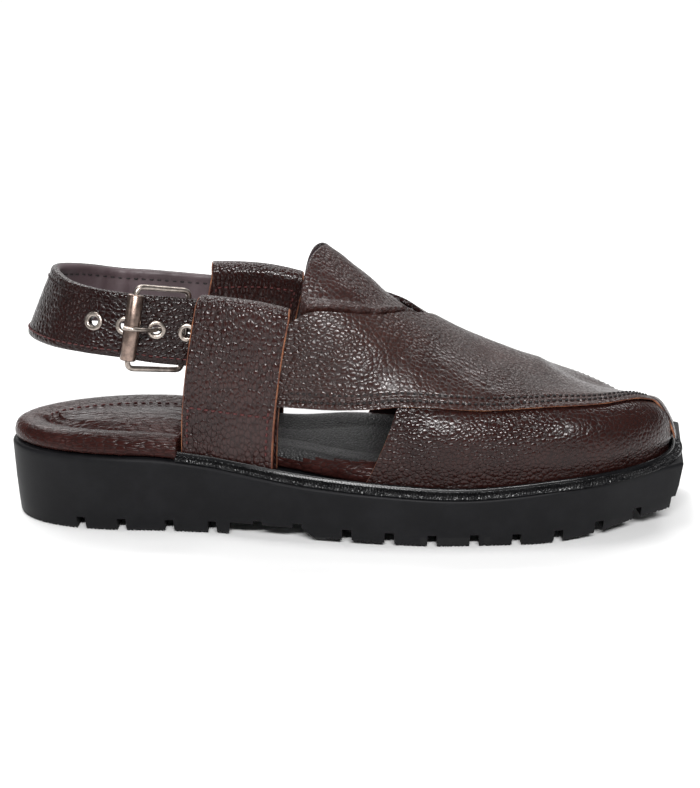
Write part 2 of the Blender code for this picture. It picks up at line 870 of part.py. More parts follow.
def make_insole():
    stations = INSOLE_STATIONS + TOE_TURNS[:-1]
    lateral = [insole_pair(along, LATERAL) for along in stations]
    medial = [insole_pair(along, MEDIAL) for along in stations]
    rings = []
    for inwards, up in INSOLE_SECTION:
        halves = [[edge.lerp(pad, inwards) for edge, pad in half] for half in (lateral, medial)]
        ring = []
        for point in loop_of(*halves):
            arch = ARCH_SUPPORT * arch_share(point) * min(up * 2, 1.0)
            height = sole_top(point.x) + CLEARANCE + up * INSOLE_THICKNESS + arch
            ring.append(Vector((point.x, point.y, height)))
        rings.append(ring)
    return object_from_faces("insole", ring_faces(rings), INSOLE_LEATHER, 60)


# Upper
PANEL_STATIONS = [PANEL_REAR, 0.41, 0.45, 0.485, 0.52, WINDOW_FRONT, 0.575, CROSSING[0], 0.625, 0.655, 0.68,
                  LAP_END, 0.735]
TIP_STATIONS = [TOE_START + (1 - TOE_START) * turn for turn in (0.0, 0.14, 0.28, 0.42, 0.55)]
TIP_STATIONS += [TIP_STRIP_START, TIP_STRIP_FULL, 0.978, 1.0]
UPPER_STATIONS = PANEL_STATIONS + TIP_STATIONS
WINDOW_INDEX = UPPER_STATIONS.index(WINDOW_FRONT)
CROSSING_INDEX = UPPER_STATIONS.index(CROSSING[0])
FAR_END_INDEX = UPPER_STATIONS.index(LAP_END)
NEAR_COLUMNS = 12
FAR_COLUMNS = 6
WALL_COLUMNS = 5


def lower_edge(along):
    """Level of the panels' lower edge. At the toe's tip it drops to make the narrow strip."""
    drop = smooth_step(TIP_STRIP_START - 0.001, TIP_STRIP_FULL + 0.001, along)
    return EDGE_LEVEL + (TIP_STRIP_LEVEL - EDGE_LEVEL) * drop


def near_upper(along):
    if along >= LAP_END:
        return lower_edge(along)
    return read_track(NEAR_UPPER_EDGE, 1, along)


def far_upper(along):
    if along >= CROSSING[0]:
        return near_upper(along)
    return read_track(FAR_UPPER_EDGE, 1, along)


def wall_place(index, level):
    """Place along the last of a wall point. The window's front edge slants down and back."""
    fade = max(1 - (index - WINDOW_INDEX) / WINDOW_STEPS, 0.0)
    down = (abs(level) - EDGE_LEVEL) / (FOOT_LEVEL - EDGE_LEVEL)
    return UPPER_STATIONS[index] - WINDOW_SLANT * fade * max(down, 0.0)


def panel_levels(low, high, columns):
    return [low + (high - low) * column / columns for column in range(columns + 1)]


def make_upper():
    """One wall: near panel over far panel over toe wall, each lap a step in its face."""
    last_index = len(UPPER_STATIONS) - 1
    near, far, walls = [], [], {LATERAL: [], MEDIAL: []}
    for index, along in enumerate(UPPER_STATIONS):
        edge = lower_edge(along)
        near.append([(along, level) for level in panel_levels(-edge, near_upper(along), NEAR_COLUMNS)])
        far.append([(along, level) for level in panel_levels(far_upper(along), edge, FAR_COLUMNS)])
        for side in (LATERAL, MEDIAL):
            levels = panel_levels(side * FOOT_LEVEL, side * edge, WALL_COLUMNS)
            walls[side].append([(wall_place(index, level), level) for level in levels])

    def face_of(places, face):
        return [last_surface(along, level, face) for along, level in places]

    def skin(rows, face):
        result = []
        points = [face_of(row, face) for row in rows]
        for row, next_row in zip(points, points[1:]):
            result += strip_faces(row, next_row)
        return result

    inside = -LINING_DEPTH
    far_rows = far[:FAR_END_INDEX + 1]
    faces = skin(near, NEAR_FACE) + skin(near, inside)
    faces += skin(far_rows, FAR_FACE) + skin(far_rows, inside)
    for side in (LATERAL, MEDIAL):
        rows = walls[side][WINDOW_INDEX:]
        faces += skin(rows, WALL_FACE) + skin(rows, inside)

    def riser(places, top, bottom, start_middle=None, end_middle=None):
        """Upright faces along a line of places, with a middle corner where a third face joins."""
        upper = face_of(places, top)
        lower = face_of(places, bottom)
        made = []
        for step in range(len(places) - 1):
            corners = [upper[step], upper[step + 1], lower[step + 1], lower[step]]
            if step == len(places) - 2 and end_middle is not None:
                corners.insert(2, last_surface(*places[-1], end_middle))
            if step == 0 and start_middle is not None:
                corners.append(last_surface(*places[0], start_middle))
            made.append(corners)
        return made

    # Rear ends of both panels
    faces += riser(near[0], NEAR_FACE, inside)
    faces += riser(far[0], FAR_FACE, inside)
    # Upper edges behind the crossing, and the near panel's lap over the far one
    near_line = [row[-1] for row in near]
    far_line = [row[0] for row in far]
    faces += riser(near_line[:CROSSING_INDEX + 1], NEAR_FACE, inside, end_middle=FAR_FACE)
    faces += riser(far_line[:CROSSING_INDEX + 1], FAR_FACE, inside)
    faces += riser(near_line[CROSSING_INDEX:FAR_END_INDEX + 1], NEAR_FACE, FAR_FACE)
    # Lower edges: free along the windows, lapped over the wall in front
    near_low = [row[0] for row in near]
    far_low = [row[-1] for row in far]
    faces += riser(near_low[:WINDOW_INDEX + 1], NEAR_FACE, inside, end_middle=WALL_FACE)
    faces += riser(near_low[WINDOW_INDEX:], NEAR_FACE, WALL_FACE)
    faces += riser(far_low[:WINDOW_INDEX + 1], FAR_FACE, inside, end_middle=WALL_FACE)
    faces += riser(far_low[WINDOW_INDEX:FAR_END_INDEX + 1], FAR_FACE, WALL_FACE)
    faces += riser(near_line[FAR_END_INDEX:], NEAR_FACE, WALL_FACE, start_middle=FAR_FACE)
    # Window edges and foot of the wall
    for side in (LATERAL, MEDIAL):
        rows = walls[side]
        faces += riser(rows[WINDOW_INDEX], WALL_FACE, inside)
        faces += riser([rows[index][0] for index in range(WINDOW_INDEX, last_index + 1)], WALL_FACE, inside)
    return object_from_faces("upper", faces, UPPER_LEATHER, 32)


# Tongue
def make_tongue():
    columns, rows = 18, 9
    face = -LINING_DEPTH - TONGUE_GAP
    outer, inner = [], []
    widest = TONGUE_EDGE[-1][0]
    for row in range(rows + 1):
        outer_row, inner_row = [], []
        for column in range(columns + 1):
            level = widest * (2 * column / columns - 1)
            start = read_track(TONGUE_EDGE, 1, abs(level))
            along = start + (TONGUE_FRONT - start) * (row / rows) ** 0.9
            outer_row.append(last_surface(along, level, face))
            inner_row.append(last_surface(along, level, face - TONGUE_THICKNESS))
        outer.append(outer_row)
        inner.append(inner_row)
    return object_from_faces("tongue", shell_faces(outer, inner), TONGUE_LEATHER)


# Bands
# Level of each band's fold, at its rear and front edges
BAND_TOPS = {LATERAL: (1.11, 1.26), MEDIAL: (1.03, 1.10)}


def band_place(side, level, across, trim=0.0):
    """Place along the last of a band's point. The band leans forward towards its top."""
    upright = (BAND_REAR + BAND_WIDTH * across) / LAST_LENGTH
    foot = last_point(upright, side * FOOT_LEVEL).z
    top = last_point(upright, side).z
    rise = (last_point(upright, side * level).z - foot) / (top - foot)
    return upright + (BAND_LEAN * rise ** 1.8 + trim * (1 - across)) / LAST_LENGTH


def make_band(name, side, trim):
    """Strip of leather that goes up outside the strap ends, folds over and comes down inside them.

    Trim takes the rear edge of the inner leaf back, clear of the buckle's bar.
    """
    climbs, folds, columns = 8, 5, 4
    outside = BAND_SLOT_OUT + BAND_LEATHER
    inside = -BAND_SLOT_IN - BAND_LEATHER
    outer, inner = [], []
    for column in range(columns + 1):
        across = column / columns
        rear_top, front_top = BAND_TOPS[side]
        top_level = rear_top + (front_top - rear_top) * across
        outer_row, inner_row = [], []
        levels = [FOOT_LEVEL + (top_level - FOOT_LEVEL) * climb / climbs for climb in range(climbs + 1)]
        for level in levels:
            along = band_place(side, level, across)
            outer_row.append(last_surface(along, side * level, outside))
            inner_row.append(last_surface(along, side * level, BAND_SLOT_OUT))
        for fold in range(1, folds + 1):
            turn = math.pi * fold / (folds + 1)
            along = band_place(side, top_level, across, trim * fold / (folds + 1))
            normal = last_normal(along, side * top_level)
            upwards = (Vector((0, 0, 1)) - normal * normal.z).normalized()
            direction = normal * math.cos(turn) + upwards * math.sin(turn)
            centre = last_surface(along, side * top_level, (outside + inside) / 2)
            outer_row.append(centre + direction * (outside - inside) / 2)
            inner_row.append(centre + direction * (BAND_SLOT_OUT + BAND_SLOT_IN) / 2)
        for level in reversed(levels):
            along = band_place(side, level, across, trim)
            outer_row.append(last_surface(along, side * level, inside))
            inner_row.append(last_surface(along, side * level, -BAND_SLOT_IN))
        outer.append(outer_row)
        inner.append(inner_row)
    return object_from_faces(name, shell_faces(outer, inner), BAND_LEATHER_FINISH)


# Heel strap
def strap_rows():
    """Rows of the strap's run: middle of the outer face, half width, lean and thickness."""
    rows = []

    def tucked(depth, side):
        along = (STRAP_END + depth) / LAST_LENGTH
        level = level_at_height(along, STRAP_HEIGHT, side)
        return last_surface(along, side * level, STRAP_OFFSET)

    for side, rise, lean in ((LATERAL, 0.0, 0.03), (MEDIAL, MEDIAL_RISE, 0.09)):
        depths = [STRAP_TUCK, STRAP_TUCK / 2]
        if side == MEDIAL:
            rows += free_rows(tucked(0, LATERAL), tucked(0, MEDIAL))
            depths.reverse()
        for depth in depths:
            half = STRAP_WIDTH / 2 - depth * STRAP_NARROWING - rise
            rows.append((tucked(depth, side) + Vector((0, 0, rise)), half, lean * STRAP_WIDTH, 0.0))
    return rows


def free_rows(lateral_end, medial_end):
    rows = []
    for back, side, rise, widen, lean, padded in STRAP_RUN:
        end = lateral_end if side < 0 else medial_end
        half = abs(end.y)
        x = back / STRAP_RUN[0][0] * STRAP_END
        point = Vector((x, side * half, end.z + rise * STRAP_WIDTH * 0.5))
        rows.append((point, STRAP_WIDTH * (0.5 + widen), lean * STRAP_WIDTH, padded))
    return rows


STRAP_SECTION = (
    # up, bulge
    (-1.00, 0.14),
    (-0.86, 0.42),
    (-0.30, 0.50),
    (0.30, 0.50),
    (0.84, 0.47),
    (1.00, 0.16),
)


def strap_station(rows, place):
    """Middle, forward, up and out directions, half width and thickness of the strap at a place."""
    def value(column, at):
        return curve_through([row[column] for row in rows], at)

    step = 0.05
    top = len(rows) - 1
    forward = value(0, min(place + step, top)) - value(0, max(place - step, 0))
    forward.normalize()
    middle = value(0, place)
    half = value(1, place)
    lean = value(2, place)
    flat = Vector((forward.x, forward.y, 0)).normalized()
    away = Vector((-flat.y, flat.x, 0))
    if away.dot(Vector((middle.x - STRAP_END - 2 * STRAP_TUCK, middle.y, 0))) < 0:
        away = -away
    up = (Vector((0, 0, 2 * half)) - away * lean).normalized()
    up = (up - forward * up.dot(forward)).normalized()
    out = up.cross(forward).normalized()
    if out.dot(away) < 0:
        out = -out
    padded = min(max(value(3, place), 0.0), 1.0)
    thickness = STRAP_LEATHER + (STRAP_PADDED - STRAP_LEATHER) * padded
    return middle, forward, up, out, half, thickness


STRAP_ROWS = []
EYELET_PLACES = []


def make_strap():
    rows = STRAP_ROWS
    top = len(rows) - 1
    steps = 3
    sections = []
    for index in range(top * steps + 1):
        middle, _, up, out, half, thickness = strap_station(rows, index / steps)
        ring = []
        for reach, bulge in STRAP_SECTION:
            ring.append(middle + up * half * reach + out * thickness * bulge)
        for reach, bulge in reversed(STRAP_SECTION):
            ring.append(middle + up * half * reach - out * thickness * bulge)
        sections.append(ring + ring[:1])
    faces = [sections[0][:-1], sections[-1][:-1]]
    for row, next_row in zip(sections, sections[1:]):
        faces += strip_faces(row, next_row)
    strap = object_from_faces("heel_strap", faces, STRAP_LEATHER_FINISH)
    for place in EYELET_PLACES:
        middle, _, up, out, _, _ = strap_station(rows, place)
        cut(strap, cylinder_cutter(middle, out, EYELET_BARREL + CLEARANCE, HOLE_REACH))
    finish_cut_mesh(strap)
    return strap


def cylinder_cutter(middle, axis, radius, reach):
    work = bmesh.new()
    bmesh.ops.create_cone(work, cap_ends=True, segments=16, radius1=radius, radius2=radius, depth=2 * reach)
    turn = axis.to_track_quat("Z", "Y").to_matrix().to_4x4()
    bmesh.ops.transform(work, matrix=Matrix.Translation(middle - ORIGIN) @ turn, verts=work.verts)
    mesh = bpy.data.meshes.new("hole")
    work.to_mesh(mesh)
    work.free()
    made = bpy.data.objects.new("hole", mesh)
    CUTTERS.objects.link(made)
    made.hide_render = True
    made.display_type = "WIRE"
    return made


def find_eyelet_places():
    """Places along the strap, one pitch apart, from the end that the lateral band hides."""
    rows = STRAP_ROWS
    places = []
    place, travelled = 1.0, 0.0
    before = strap_station(rows, place)[0]
    wanted = FIRST_EYELET
    while len(places) < 4:
        place += 0.01
        here = strap_station(rows, place)[0]
        travelled += (here - before).length
        before = here
        if travelled >= wanted:
            places.append(place)
            wanted += EYELET_PITCH
    return places


def turned_mesh(name, profile, segments, finish):
    """Ring turned about Z from a closed profile of radius and height."""
    rows = []
    for step in range(segments):
        angle = 2 * math.pi * step / segments
        rows.append([
            Vector((radius * math.cos(angle), radius * math.sin(angle), height)) for radius, height in profile
        ])
    faces = []
    for row, next_row in zip(rows, rows[1:] + rows[:1]):
        faces += strip_faces(row + row[:1], next_row + next_row[:1])
    return object_from_faces(name, [[point + ORIGIN for point in face] for face in faces], finish, 50)


def make_eyelet(number, place):
    """Flange and barrel, set in the strap's hole."""
    middle, _, _, out, _, thickness = strap_station(STRAP_ROWS, place)
    face = thickness / 2 + CLEARANCE
    profile = [
        (EYELET_HOLE, -thickness / 2),
        (EYELET_BARREL, -thickness / 2),
        (EYELET_BARREL, face),
        (EYELET_RADIUS, face),
        (EYELET_RADIUS - EYELET_ROUND, face + EYELET_FLANGE),
        (EYELET_HOLE + EYELET_FLANGE, face + EYELET_FLANGE),
        (EYELET_HOLE, face + EYELET_FLANGE * 0.4),
    ]
    made = turned_mesh(f"eyelet_{number}", profile, 16, NICKEL)
    made.matrix_world = Matrix.Translation(middle - ORIGIN) @ out.to_track_quat("Z", "Y").to_matrix().to_4x4()
    return made


# Buckle
def rounded_loop(corners, radius, steps=3):
    """Closed path through corners, each corner rounded."""
    path = []
    for index, corner in enumerate(corners):
        before = (corners[index - 1] - corner).normalized()
        after = (corners[(index + 1) % len(corners)] - corner).normalized()
        start = corner + before * radius
        end = corner + after * radius
        for step in range(steps + 1):
            share = step / steps
            path.append(start.lerp(corner, share).lerp(corner.lerp(end, share), share))
    return path


# Places of the roller and of the inner bar, in steps of the strap's rows from their eyelets
ROLLER_SHIFT = -0.22
BAR_SHIFT = 0.06

# Places of the chape's tail along the strap's rows, inside the lateral band
CHAPE_TAIL = (1 / 3, 1, 4 / 3, 5 / 3, 2, 7 / 3, 8 / 3)


def bar_points():
    """Middle of the roller's bar outside the strap and of the bar inside it."""
    roller = strap_station(STRAP_ROWS, EYELET_PLACES[2] + ROLLER_SHIFT)
    inner = strap_station(STRAP_ROWS, EYELET_PLACES[0] + BAR_SHIFT)
    height = roller[5] / 2 + 2 * CLEARANCE + EYELET_FLANGE + ROLLER_RADIUS
    roller_middle = roller[0] + roller[3] * height
    depth = inner[5] / 2 + CHAPE_LEATHER + 2 * CLEARANCE + WIRE_RADIUS
    inner_middle = inner[0] - inner[3] * depth
    return roller_middle, roller[2], inner_middle, inner[2], max(roller[4], inner[4])


def make_buckle():
    roller_middle, roller_up, bar_middle, bar_up, half = bar_points()
    rise = half + BUCKLE_MARGIN + WIRE_RADIUS
    corners = [
        roller_middle + roller_up * rise,
        bar_middle + bar_up * rise,
        bar_middle - bar_up * rise,
        roller_middle - roller_up * rise,
    ]
    wire("buckle_frame", rounded_loop(corners, BUCKLE_CORNER), WIRE_RADIUS, NICKEL, closed=True)

    end = half + BUCKLE_MARGIN - BUCKLE_CORNER + ROLLER_OVERHANG
    profile = [
        (ROLLER_BORE, -end),
        (ROLLER_RADIUS - ROLLER_ROUND, -end),
        (ROLLER_RADIUS, -end + ROLLER_ROUND),
        (ROLLER_RADIUS, end - ROLLER_ROUND),
        (ROLLER_RADIUS - ROLLER_ROUND, end),
        (ROLLER_BORE, end),
    ]
    roller = turned_mesh("buckle_roller", profile, 18, NICKEL)
    turn = roller_up.to_track_quat("Z", "Y").to_matrix().to_4x4()
    roller.matrix_world = Matrix.Translation(roller_middle - ORIGIN) @ turn


def make_prong():
    """Prong hooked round the inner bar, up through the second eyelet from the band, onto the roller."""
    roller_middle, _, bar_middle, _, _ = bar_points()
    hole, forward, _, out, _, thickness = strap_station(STRAP_ROWS, EYELET_PLACES[1])
    _, bar_forward, _, bar_out, _, _ = strap_station(STRAP_ROWS, EYELET_PLACES[0] + BAR_SHIFT)
    loop = WIRE_RADIUS + CLEARANCE + PRONG_RADIUS
    path = []
    for step in range(6):
        turn = math.radians(180 + step * 21)
        path.append(bar_middle + bar_forward * loop * math.cos(turn) + bar_out * loop * math.sin(turn))
    behind = hole - out * (thickness / 2 + PRONG_RADIUS + 0.0006)
    front = hole + out * (thickness / 2 + 0.0016)
    rest = roller_middle + out * (ROLLER_RADIUS + CLEARANCE + PRONG_RADIUS)
    path.append(behind - forward * 0.0022)
    path.append(behind - forward * 0.0006 + out * 0.0004)
    path.append(hole + forward * 0.0001)
    path.append(front + forward * 0.0006)
    path.append(front.lerp(rest, 0.35) + out * 0.0010)
    path.append(rest - forward * 0.0012 + out * 0.0002)
    path.append(rest + forward * 0.0016)
    path.append(rest + forward * 0.0034 - out * 0.0006)
    wire("buckle_prong", path, PRONG_RADIUS, NICKEL)


def make_chape():
    """Leather tab round the inner bar, its tail tucked into the lateral band."""
    _, _, bar_middle, bar_up, _ = bar_points()
    _, forward, _, out, _, _ = strap_station(STRAP_ROWS, EYELET_PLACES[0] + BAR_SHIFT)
    inner_radius = WIRE_RADIUS + CLEARANCE
    outer_radius = inner_radius + CHAPE_LEATHER
    steps = 14
    outer, inner, heights = [], [], []
    for place in CHAPE_TAIL:
        middle, _, up, away, _, thickness = strap_station(STRAP_ROWS, place)
        outer.append(middle - away * (thickness / 2 + CHAPE_GAP))
        inner.append(middle - away * (thickness / 2 + CHAPE_GAP + CHAPE_LEATHER))
        heights.append(up * CHAPE_HEIGHT / 2)
    for step in range(steps):
        turn = math.radians(90 - step * 300 / (steps - 1))
        direction = forward * math.cos(turn) + out * math.sin(turn)
        outer.append(bar_middle + direction * outer_radius)
        inner.append(bar_middle + direction * inner_radius)
        heights.append(bar_up * CHAPE_HEIGHT / 2)
    outer_grid = [[point + height, point - height] for point, height in zip(outer, heights)]
    inner_grid = [[point + height, point - height] for point, height in zip(inner, heights)]
    chape = object_from_faces("buckle_chape", shell_faces(outer_grid, inner_grid), STRAP_LEATHER_FINISH)
    slot = PRONG_RADIUS + SLOT_MARGIN
    reach = outer_radius + SLOT_MARGIN
    corners = []
    for low in (-1, 1):
        for back in (-reach, reach):
            for away in (-reach, reach + 0.0005):
                corners.append(bar_middle + bar_up * slot * low + forward * back + out * away)
    order = ((0, 1, 3, 2), (4, 5, 7, 6), (0, 1, 5, 4), (2, 3, 7, 6), (0, 2, 6, 4), (1, 3, 7, 5))
    cut(chape, cutter_from_faces("prong_slot", [[corners[i] for i in face] for face in order]))
    finish_cut_mesh(chape)


for old in list(bpy.data.objects):
    bpy.data.objects.remove(old, do_unlink=True)

PARTS = bpy.data.collections.new("peshawari_chappal")
CUTTERS = bpy.data.collections.new("cutters")
bpy.context.scene.collection.children.link(PARTS)
bpy.context.scene.collection.children.link(CUTTERS)

RUBBER = material("black_rubber", (0.022, 0.022, 0.024), 0.48)
WELT_RUBBER = material("welt_rubber", (0.010, 0.010, 0.011), 0.35)
INSOLE_LEATHER = material("insole_leather", (0.075, 0.040, 0.036), 0.42)
UPPER_LEATHER = material("upper_leather", (0.060, 0.030, 0.027), 0.45)
TONGUE_LEATHER = material("tongue_leather", (0.062, 0.031, 0.028), 0.48)
BAND_LEATHER_FINISH = material("band_leather", (0.055, 0.028, 0.026), 0.45)
STRAP_LEATHER_FINISH = material("strap_leather", (0.050, 0.026, 0.024), 0.42)
NICKEL = material("aged_nickel", (0.42, 0.34, 0.29), 0.32, 1.0)

STRAP_ROWS.extend(strap_rows())
EYELET_PLACES.extend(find_eyelet_places())

make_outsole()
make_welt()
make_insole()
make_upper()
make_tongue()
make_band("band_lateral", LATERAL, BAND_TRIM)
make_band("band_medial", MEDIAL, 0.0)
make_strap()
for number, eyelet_place in enumerate(EYELET_PLACES, start=1):
    make_eyelet(number, eyelet_place)
make_buckle()
make_prong()
make_chape()
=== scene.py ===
import math

import bmesh
import bpy
import numpy as np
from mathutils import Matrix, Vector, noise


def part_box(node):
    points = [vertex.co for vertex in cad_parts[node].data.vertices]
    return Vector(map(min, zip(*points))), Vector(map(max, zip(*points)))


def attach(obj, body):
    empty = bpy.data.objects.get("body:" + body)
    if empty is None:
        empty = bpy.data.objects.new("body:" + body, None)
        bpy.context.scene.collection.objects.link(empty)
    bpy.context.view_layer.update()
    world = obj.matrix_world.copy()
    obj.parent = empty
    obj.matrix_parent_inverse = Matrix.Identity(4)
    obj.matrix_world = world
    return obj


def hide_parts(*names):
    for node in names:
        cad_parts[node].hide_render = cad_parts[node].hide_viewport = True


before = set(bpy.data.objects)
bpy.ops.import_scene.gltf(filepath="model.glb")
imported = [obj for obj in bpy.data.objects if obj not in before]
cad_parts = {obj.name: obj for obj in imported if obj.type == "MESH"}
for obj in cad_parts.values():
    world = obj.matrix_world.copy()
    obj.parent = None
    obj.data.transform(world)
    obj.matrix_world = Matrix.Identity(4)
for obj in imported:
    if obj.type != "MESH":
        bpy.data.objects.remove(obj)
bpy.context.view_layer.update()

# Sizes of the shoe in metres, as the solids have them. A little apart from the solids are the grooves, the
# notch, the windows' slant, the bands' tops, the inner band's flare and the roller's rounding.
LAST_LENGTH = 0.295
HEEL_OVERHANG = 0.0030
HALF_BALL = 0.051
HEEL_HEIGHT = 0.0338
BALL_HEIGHT = 0.0218
TOE_HEIGHT = 0.0302
TOE_SPRING = 0.0096
TOE_SKEW = 0.0116
SKEW_GAIN = 1.85
SPINE_SHIFT = 0.0060
HEEL_ROUND = 0.056
WALL_TAPER = 0.0040
HEEL_TAPER = 0.0014

LUG_DEPTH = 0.0058
LUG_LENGTH = 0.0160
LUG_PITCH = 0.0174
GROOVE_WIDTH = 0.0036
GROOVE_FLARE = 0.0006
CHANNEL_WIDTH = 0.0036
CHANNEL_DEPTH = 0.0042
CENTRE_DEPTH = 0.0034
ARCH_DEPTH = 0.0068
ARCH_RAMP = 0.0090
WAIST_LIFT = 0.0020

INSTEP_HEIGHT = 0.1200
EDGE_HEIGHT = 0.0570
TOE_LENGTH = 0.0560
TOE_EDGE_HEIGHT = 0.0465
SPINE_LENGTH = 0.0390

CLEARANCE = 0.0003
LINING_DEPTH = 0.0011
WALL_FACE = 0.0003
FAR_FACE = 0.0012
NEAR_FACE = 0.0021
INSOLE_THICKNESS = 0.0084
ARCH_SUPPORT = 0.0022
INSOLE_RIM = 0.0200
INSOLE_EDGE = 0.0010

WELT_WIDTH = 0.0056
WELT_REAR_WIDTH = 0.0034
WELT_MARGIN = 0.0006
WELT_BEAD = 0.0034
WELT_GAP = 0.0006
KNURL_PITCH = 0.00125
KNURL_HEIGHT = 0.00022

BAND_WIDTH = 0.0385
BAND_REAR = 0.0745
BAND_LEAN = 0.0090
BAND_LEATHER = 0.0018
BAND_SLOT_IN = 0.0022
BAND_SLOT_OUT = 0.0038
BAND_TRIM = 0.0034

STRAP_WIDTH = 0.0275
STRAP_LEATHER = 0.0017
STRAP_PADDED = 0.0036
STRAP_OFFSET = 0.0008
STRAP_TUCK = 0.0130
STRAP_NARROWING = 0.14
STRAP_HEIGHT = 0.0845
MEDIAL_RISE = 0.0008

EYELET_PITCH = 0.0124
FIRST_EYELET = 0.0142
EYELET_RADIUS = 0.0038
EYELET_HOLE = 0.0019
EYELET_BARREL = 0.0025
EYELET_FLANGE = 0.0006
WIRE_RADIUS = 0.00115
PRONG_RADIUS = 0.0009
ROLLER_RADIUS = 0.0032
ROLLER_BORE = 0.0016
BUCKLE_MARGIN = 0.0014
CHAPE_LEATHER = 0.0011

LATERAL, MEDIAL = -1, 1
EDGE_LEVEL, FOOT_LEVEL = 2.0, 4.0

SOLE_SIDES = (
    # along, lateral, medial
    (0.00, 0.659, 0.679), (0.20, 0.672, 0.710), (0.28, 0.716, 0.726), (0.33, 0.782, 0.731),
    (0.39, 0.865, 0.751), (0.45, 0.930, 0.803), (0.52, 0.985, 0.880), (0.61, 1.004, 0.962),
    (0.70, 0.985, 0.990), (0.78, 0.945, 0.975), (0.85, 0.852, 0.905), (0.92, 0.692, 0.772),
    (0.985, 0.556, 0.607), (1.00, 0.504, 0.546),
)
SOLE_TOP = (
    # along, fall, rise
    (0.00, 0.00, 0.00), (0.20, 0.02, 0.00), (0.27, 0.17, 0.00), (0.32, 0.32, 0.00), (0.42, 0.65, 0.00),
    (0.53, 0.86, 0.00), (0.62, 1.00, 0.00), (0.68, 1.00, 0.03), (0.77, 1.00, 0.33), (0.84, 1.00, 0.60),
    (0.92, 1.00, 0.82), (1.00, 1.00, 1.00),
)
SOLE_BOTTOM = (
    # along, waist, toe
    (0.00, 0.00, 0.00), (0.26, 0.00, 0.00), (0.31, 0.45, 0.00), (0.38, 1.00, 0.00), (0.46, 1.00, 0.00),
    (0.54, 0.50, 0.00), (0.58, 0.16, 0.00), (0.60, 0.00, 0.00), (0.74, 0.00, 0.00), (0.79, 0.00, 0.12),
    (0.86, 0.00, 0.42), (0.93, 0.00, 0.72), (1.00, 0.00, 1.00),
)
LAST = (
    # along, ridge, edge, inset, belly, shoulder_in, shoulder_up
    (0.23, 1.110, 0.98, 0.000, 0.000, 0.14, 0.58),
    (0.36, 1.110, 0.98, 0.000, 0.005, 0.18, 0.60),
    (0.45, 0.998, 0.98, 0.025, 0.010, 0.26, 0.64),
    (0.525, 0.850, 1.00, 0.065, 0.020, 0.33, 0.66),
    (0.555, 0.783, 1.01, 0.075, 0.020, 0.36, 0.67),
    (0.607, 0.697, 0.995, 0.085, 0.030, 0.40, 0.67),
    (0.67, 0.621, 0.970, 0.095, 0.035, 0.42, 0.65),
    (0.73, 0.563, 0.975, 0.110, 0.040, 0.42, 0.62),
    (0.7678, 0.533, 0.980, 0.120, 0.040, 0.42, 0.60),
)
TOE = (
    # turn, ridge, edge, inset, belly
    (0.00, 0.533, 1.00, 0.120, 0.040),
    (0.25, 0.484, 0.99, 0.135, 0.040),
    (0.50, 0.445, 0.93, 0.150, 0.034),
    (0.75, 0.422, 0.45, 0.130, 0.020),
    (1.00, 0.408, 0.00, 0.100, 0.006),
)
INNER_FALL = (
    # along, fall
    (0.60, 0.00), (0.68, 0.01), (0.76, 0.05), (0.82, 0.10), (0.88, 0.17), (0.925, 0.18), (0.965, 0.09),
    (1.00, 0.00),
)
CROSSING = (0.597, -0.12)
NEAR_UPPER_EDGE = (
    # along, level
    (0.375, -1.33), (0.405, -1.25), (0.43, -1.13), (0.475, -1.02), (0.525, -0.83), (0.557, -0.55),
    CROSSING, (0.640, 0.75), (0.680, 1.60), (0.700, EDGE_LEVEL),
)
FAR_UPPER_EDGE = (
    # along, level
    (0.375, 1.20), (0.43, 1.10), (0.475, 1.00), (0.525, 0.72), (0.557, 0.40), CROSSING,
)
PANEL_REAR = 0.375
LAP_END = 0.700
PANEL_BACK = 0.0006
LAP_GAP = 0.0001
SEAM_PLACES = (0.0026, 0.0052)
SEAM_PITCH = 0.0025
SEAM_START = 0.03
SEAM_TOE_END = 0.921
SEAM_DIP = 0.00052
HIDE_SWELL = (0.011, 0.00022)
WALL_CROWN = 0.0019
WINDOW_FRONT = 0.552
WINDOW_SLANT = 0.048
WINDOW_FADE = 0.103
TIP_STRIP_START = 0.925
TIP_STRIP_FULL = 0.955
TIP_STRIP_LEVEL = 3.26
TONGUE_EDGE = (
    # level, along
    (0.00, 0.4595), (0.25, 0.4480), (0.50, 0.4350), (0.80, 0.4240), (1.10, 0.4190), (1.50, 0.4200),
    (1.85, 0.4260),
)
TONGUE_FRONT = 0.655
TONGUE_FACE, TONGUE_BACK = -0.0015, -0.0034
ROLL_PLACE, ROLL_WIDTH, ROLL_HEIGHT = 0.0030, 0.0028, 0.0040
ROLL_CRUMPLE = (0.0042, 0.0017)
STRAP_RUN = (
    # back, side, rise, widen, lean, padded
    (0.290, -1.00, 0.00, 0.010, 0.04, 0.0),
    (0.262, -1.01, 0.08, 0.005, 0.06, 0.0),
    (0.222, -1.11, 0.21, -0.005, 0.10, 0.0),
    (0.182, -1.18, 0.36, -0.025, 0.15, 0.1),
    (0.134, -1.12, 0.49, -0.020, 0.26, 0.6),
    (0.090, -0.86, 0.59, 0.010, 0.38, 1.0),
    (0.060, -0.42, 0.66, 0.050, 0.48, 1.0),
    (0.049, 0.00, 0.68, 0.070, 0.50, 1.0),
    (0.060, 0.43, 0.64, 0.050, 0.48, 1.0),
    (0.092, 0.84, 0.52, 0.010, 0.38, 1.0),
    (0.140, 1.07, 0.32, -0.010, 0.24, 1.0),
    (0.194, 1.11, 0.18, 0.000, 0.12, 0.9),
    (0.249, 1.04, 0.12, -0.010, 0.09, 0.6),
    (0.290, 1.00, 0.09, -0.030, 0.09, 0.2),
)


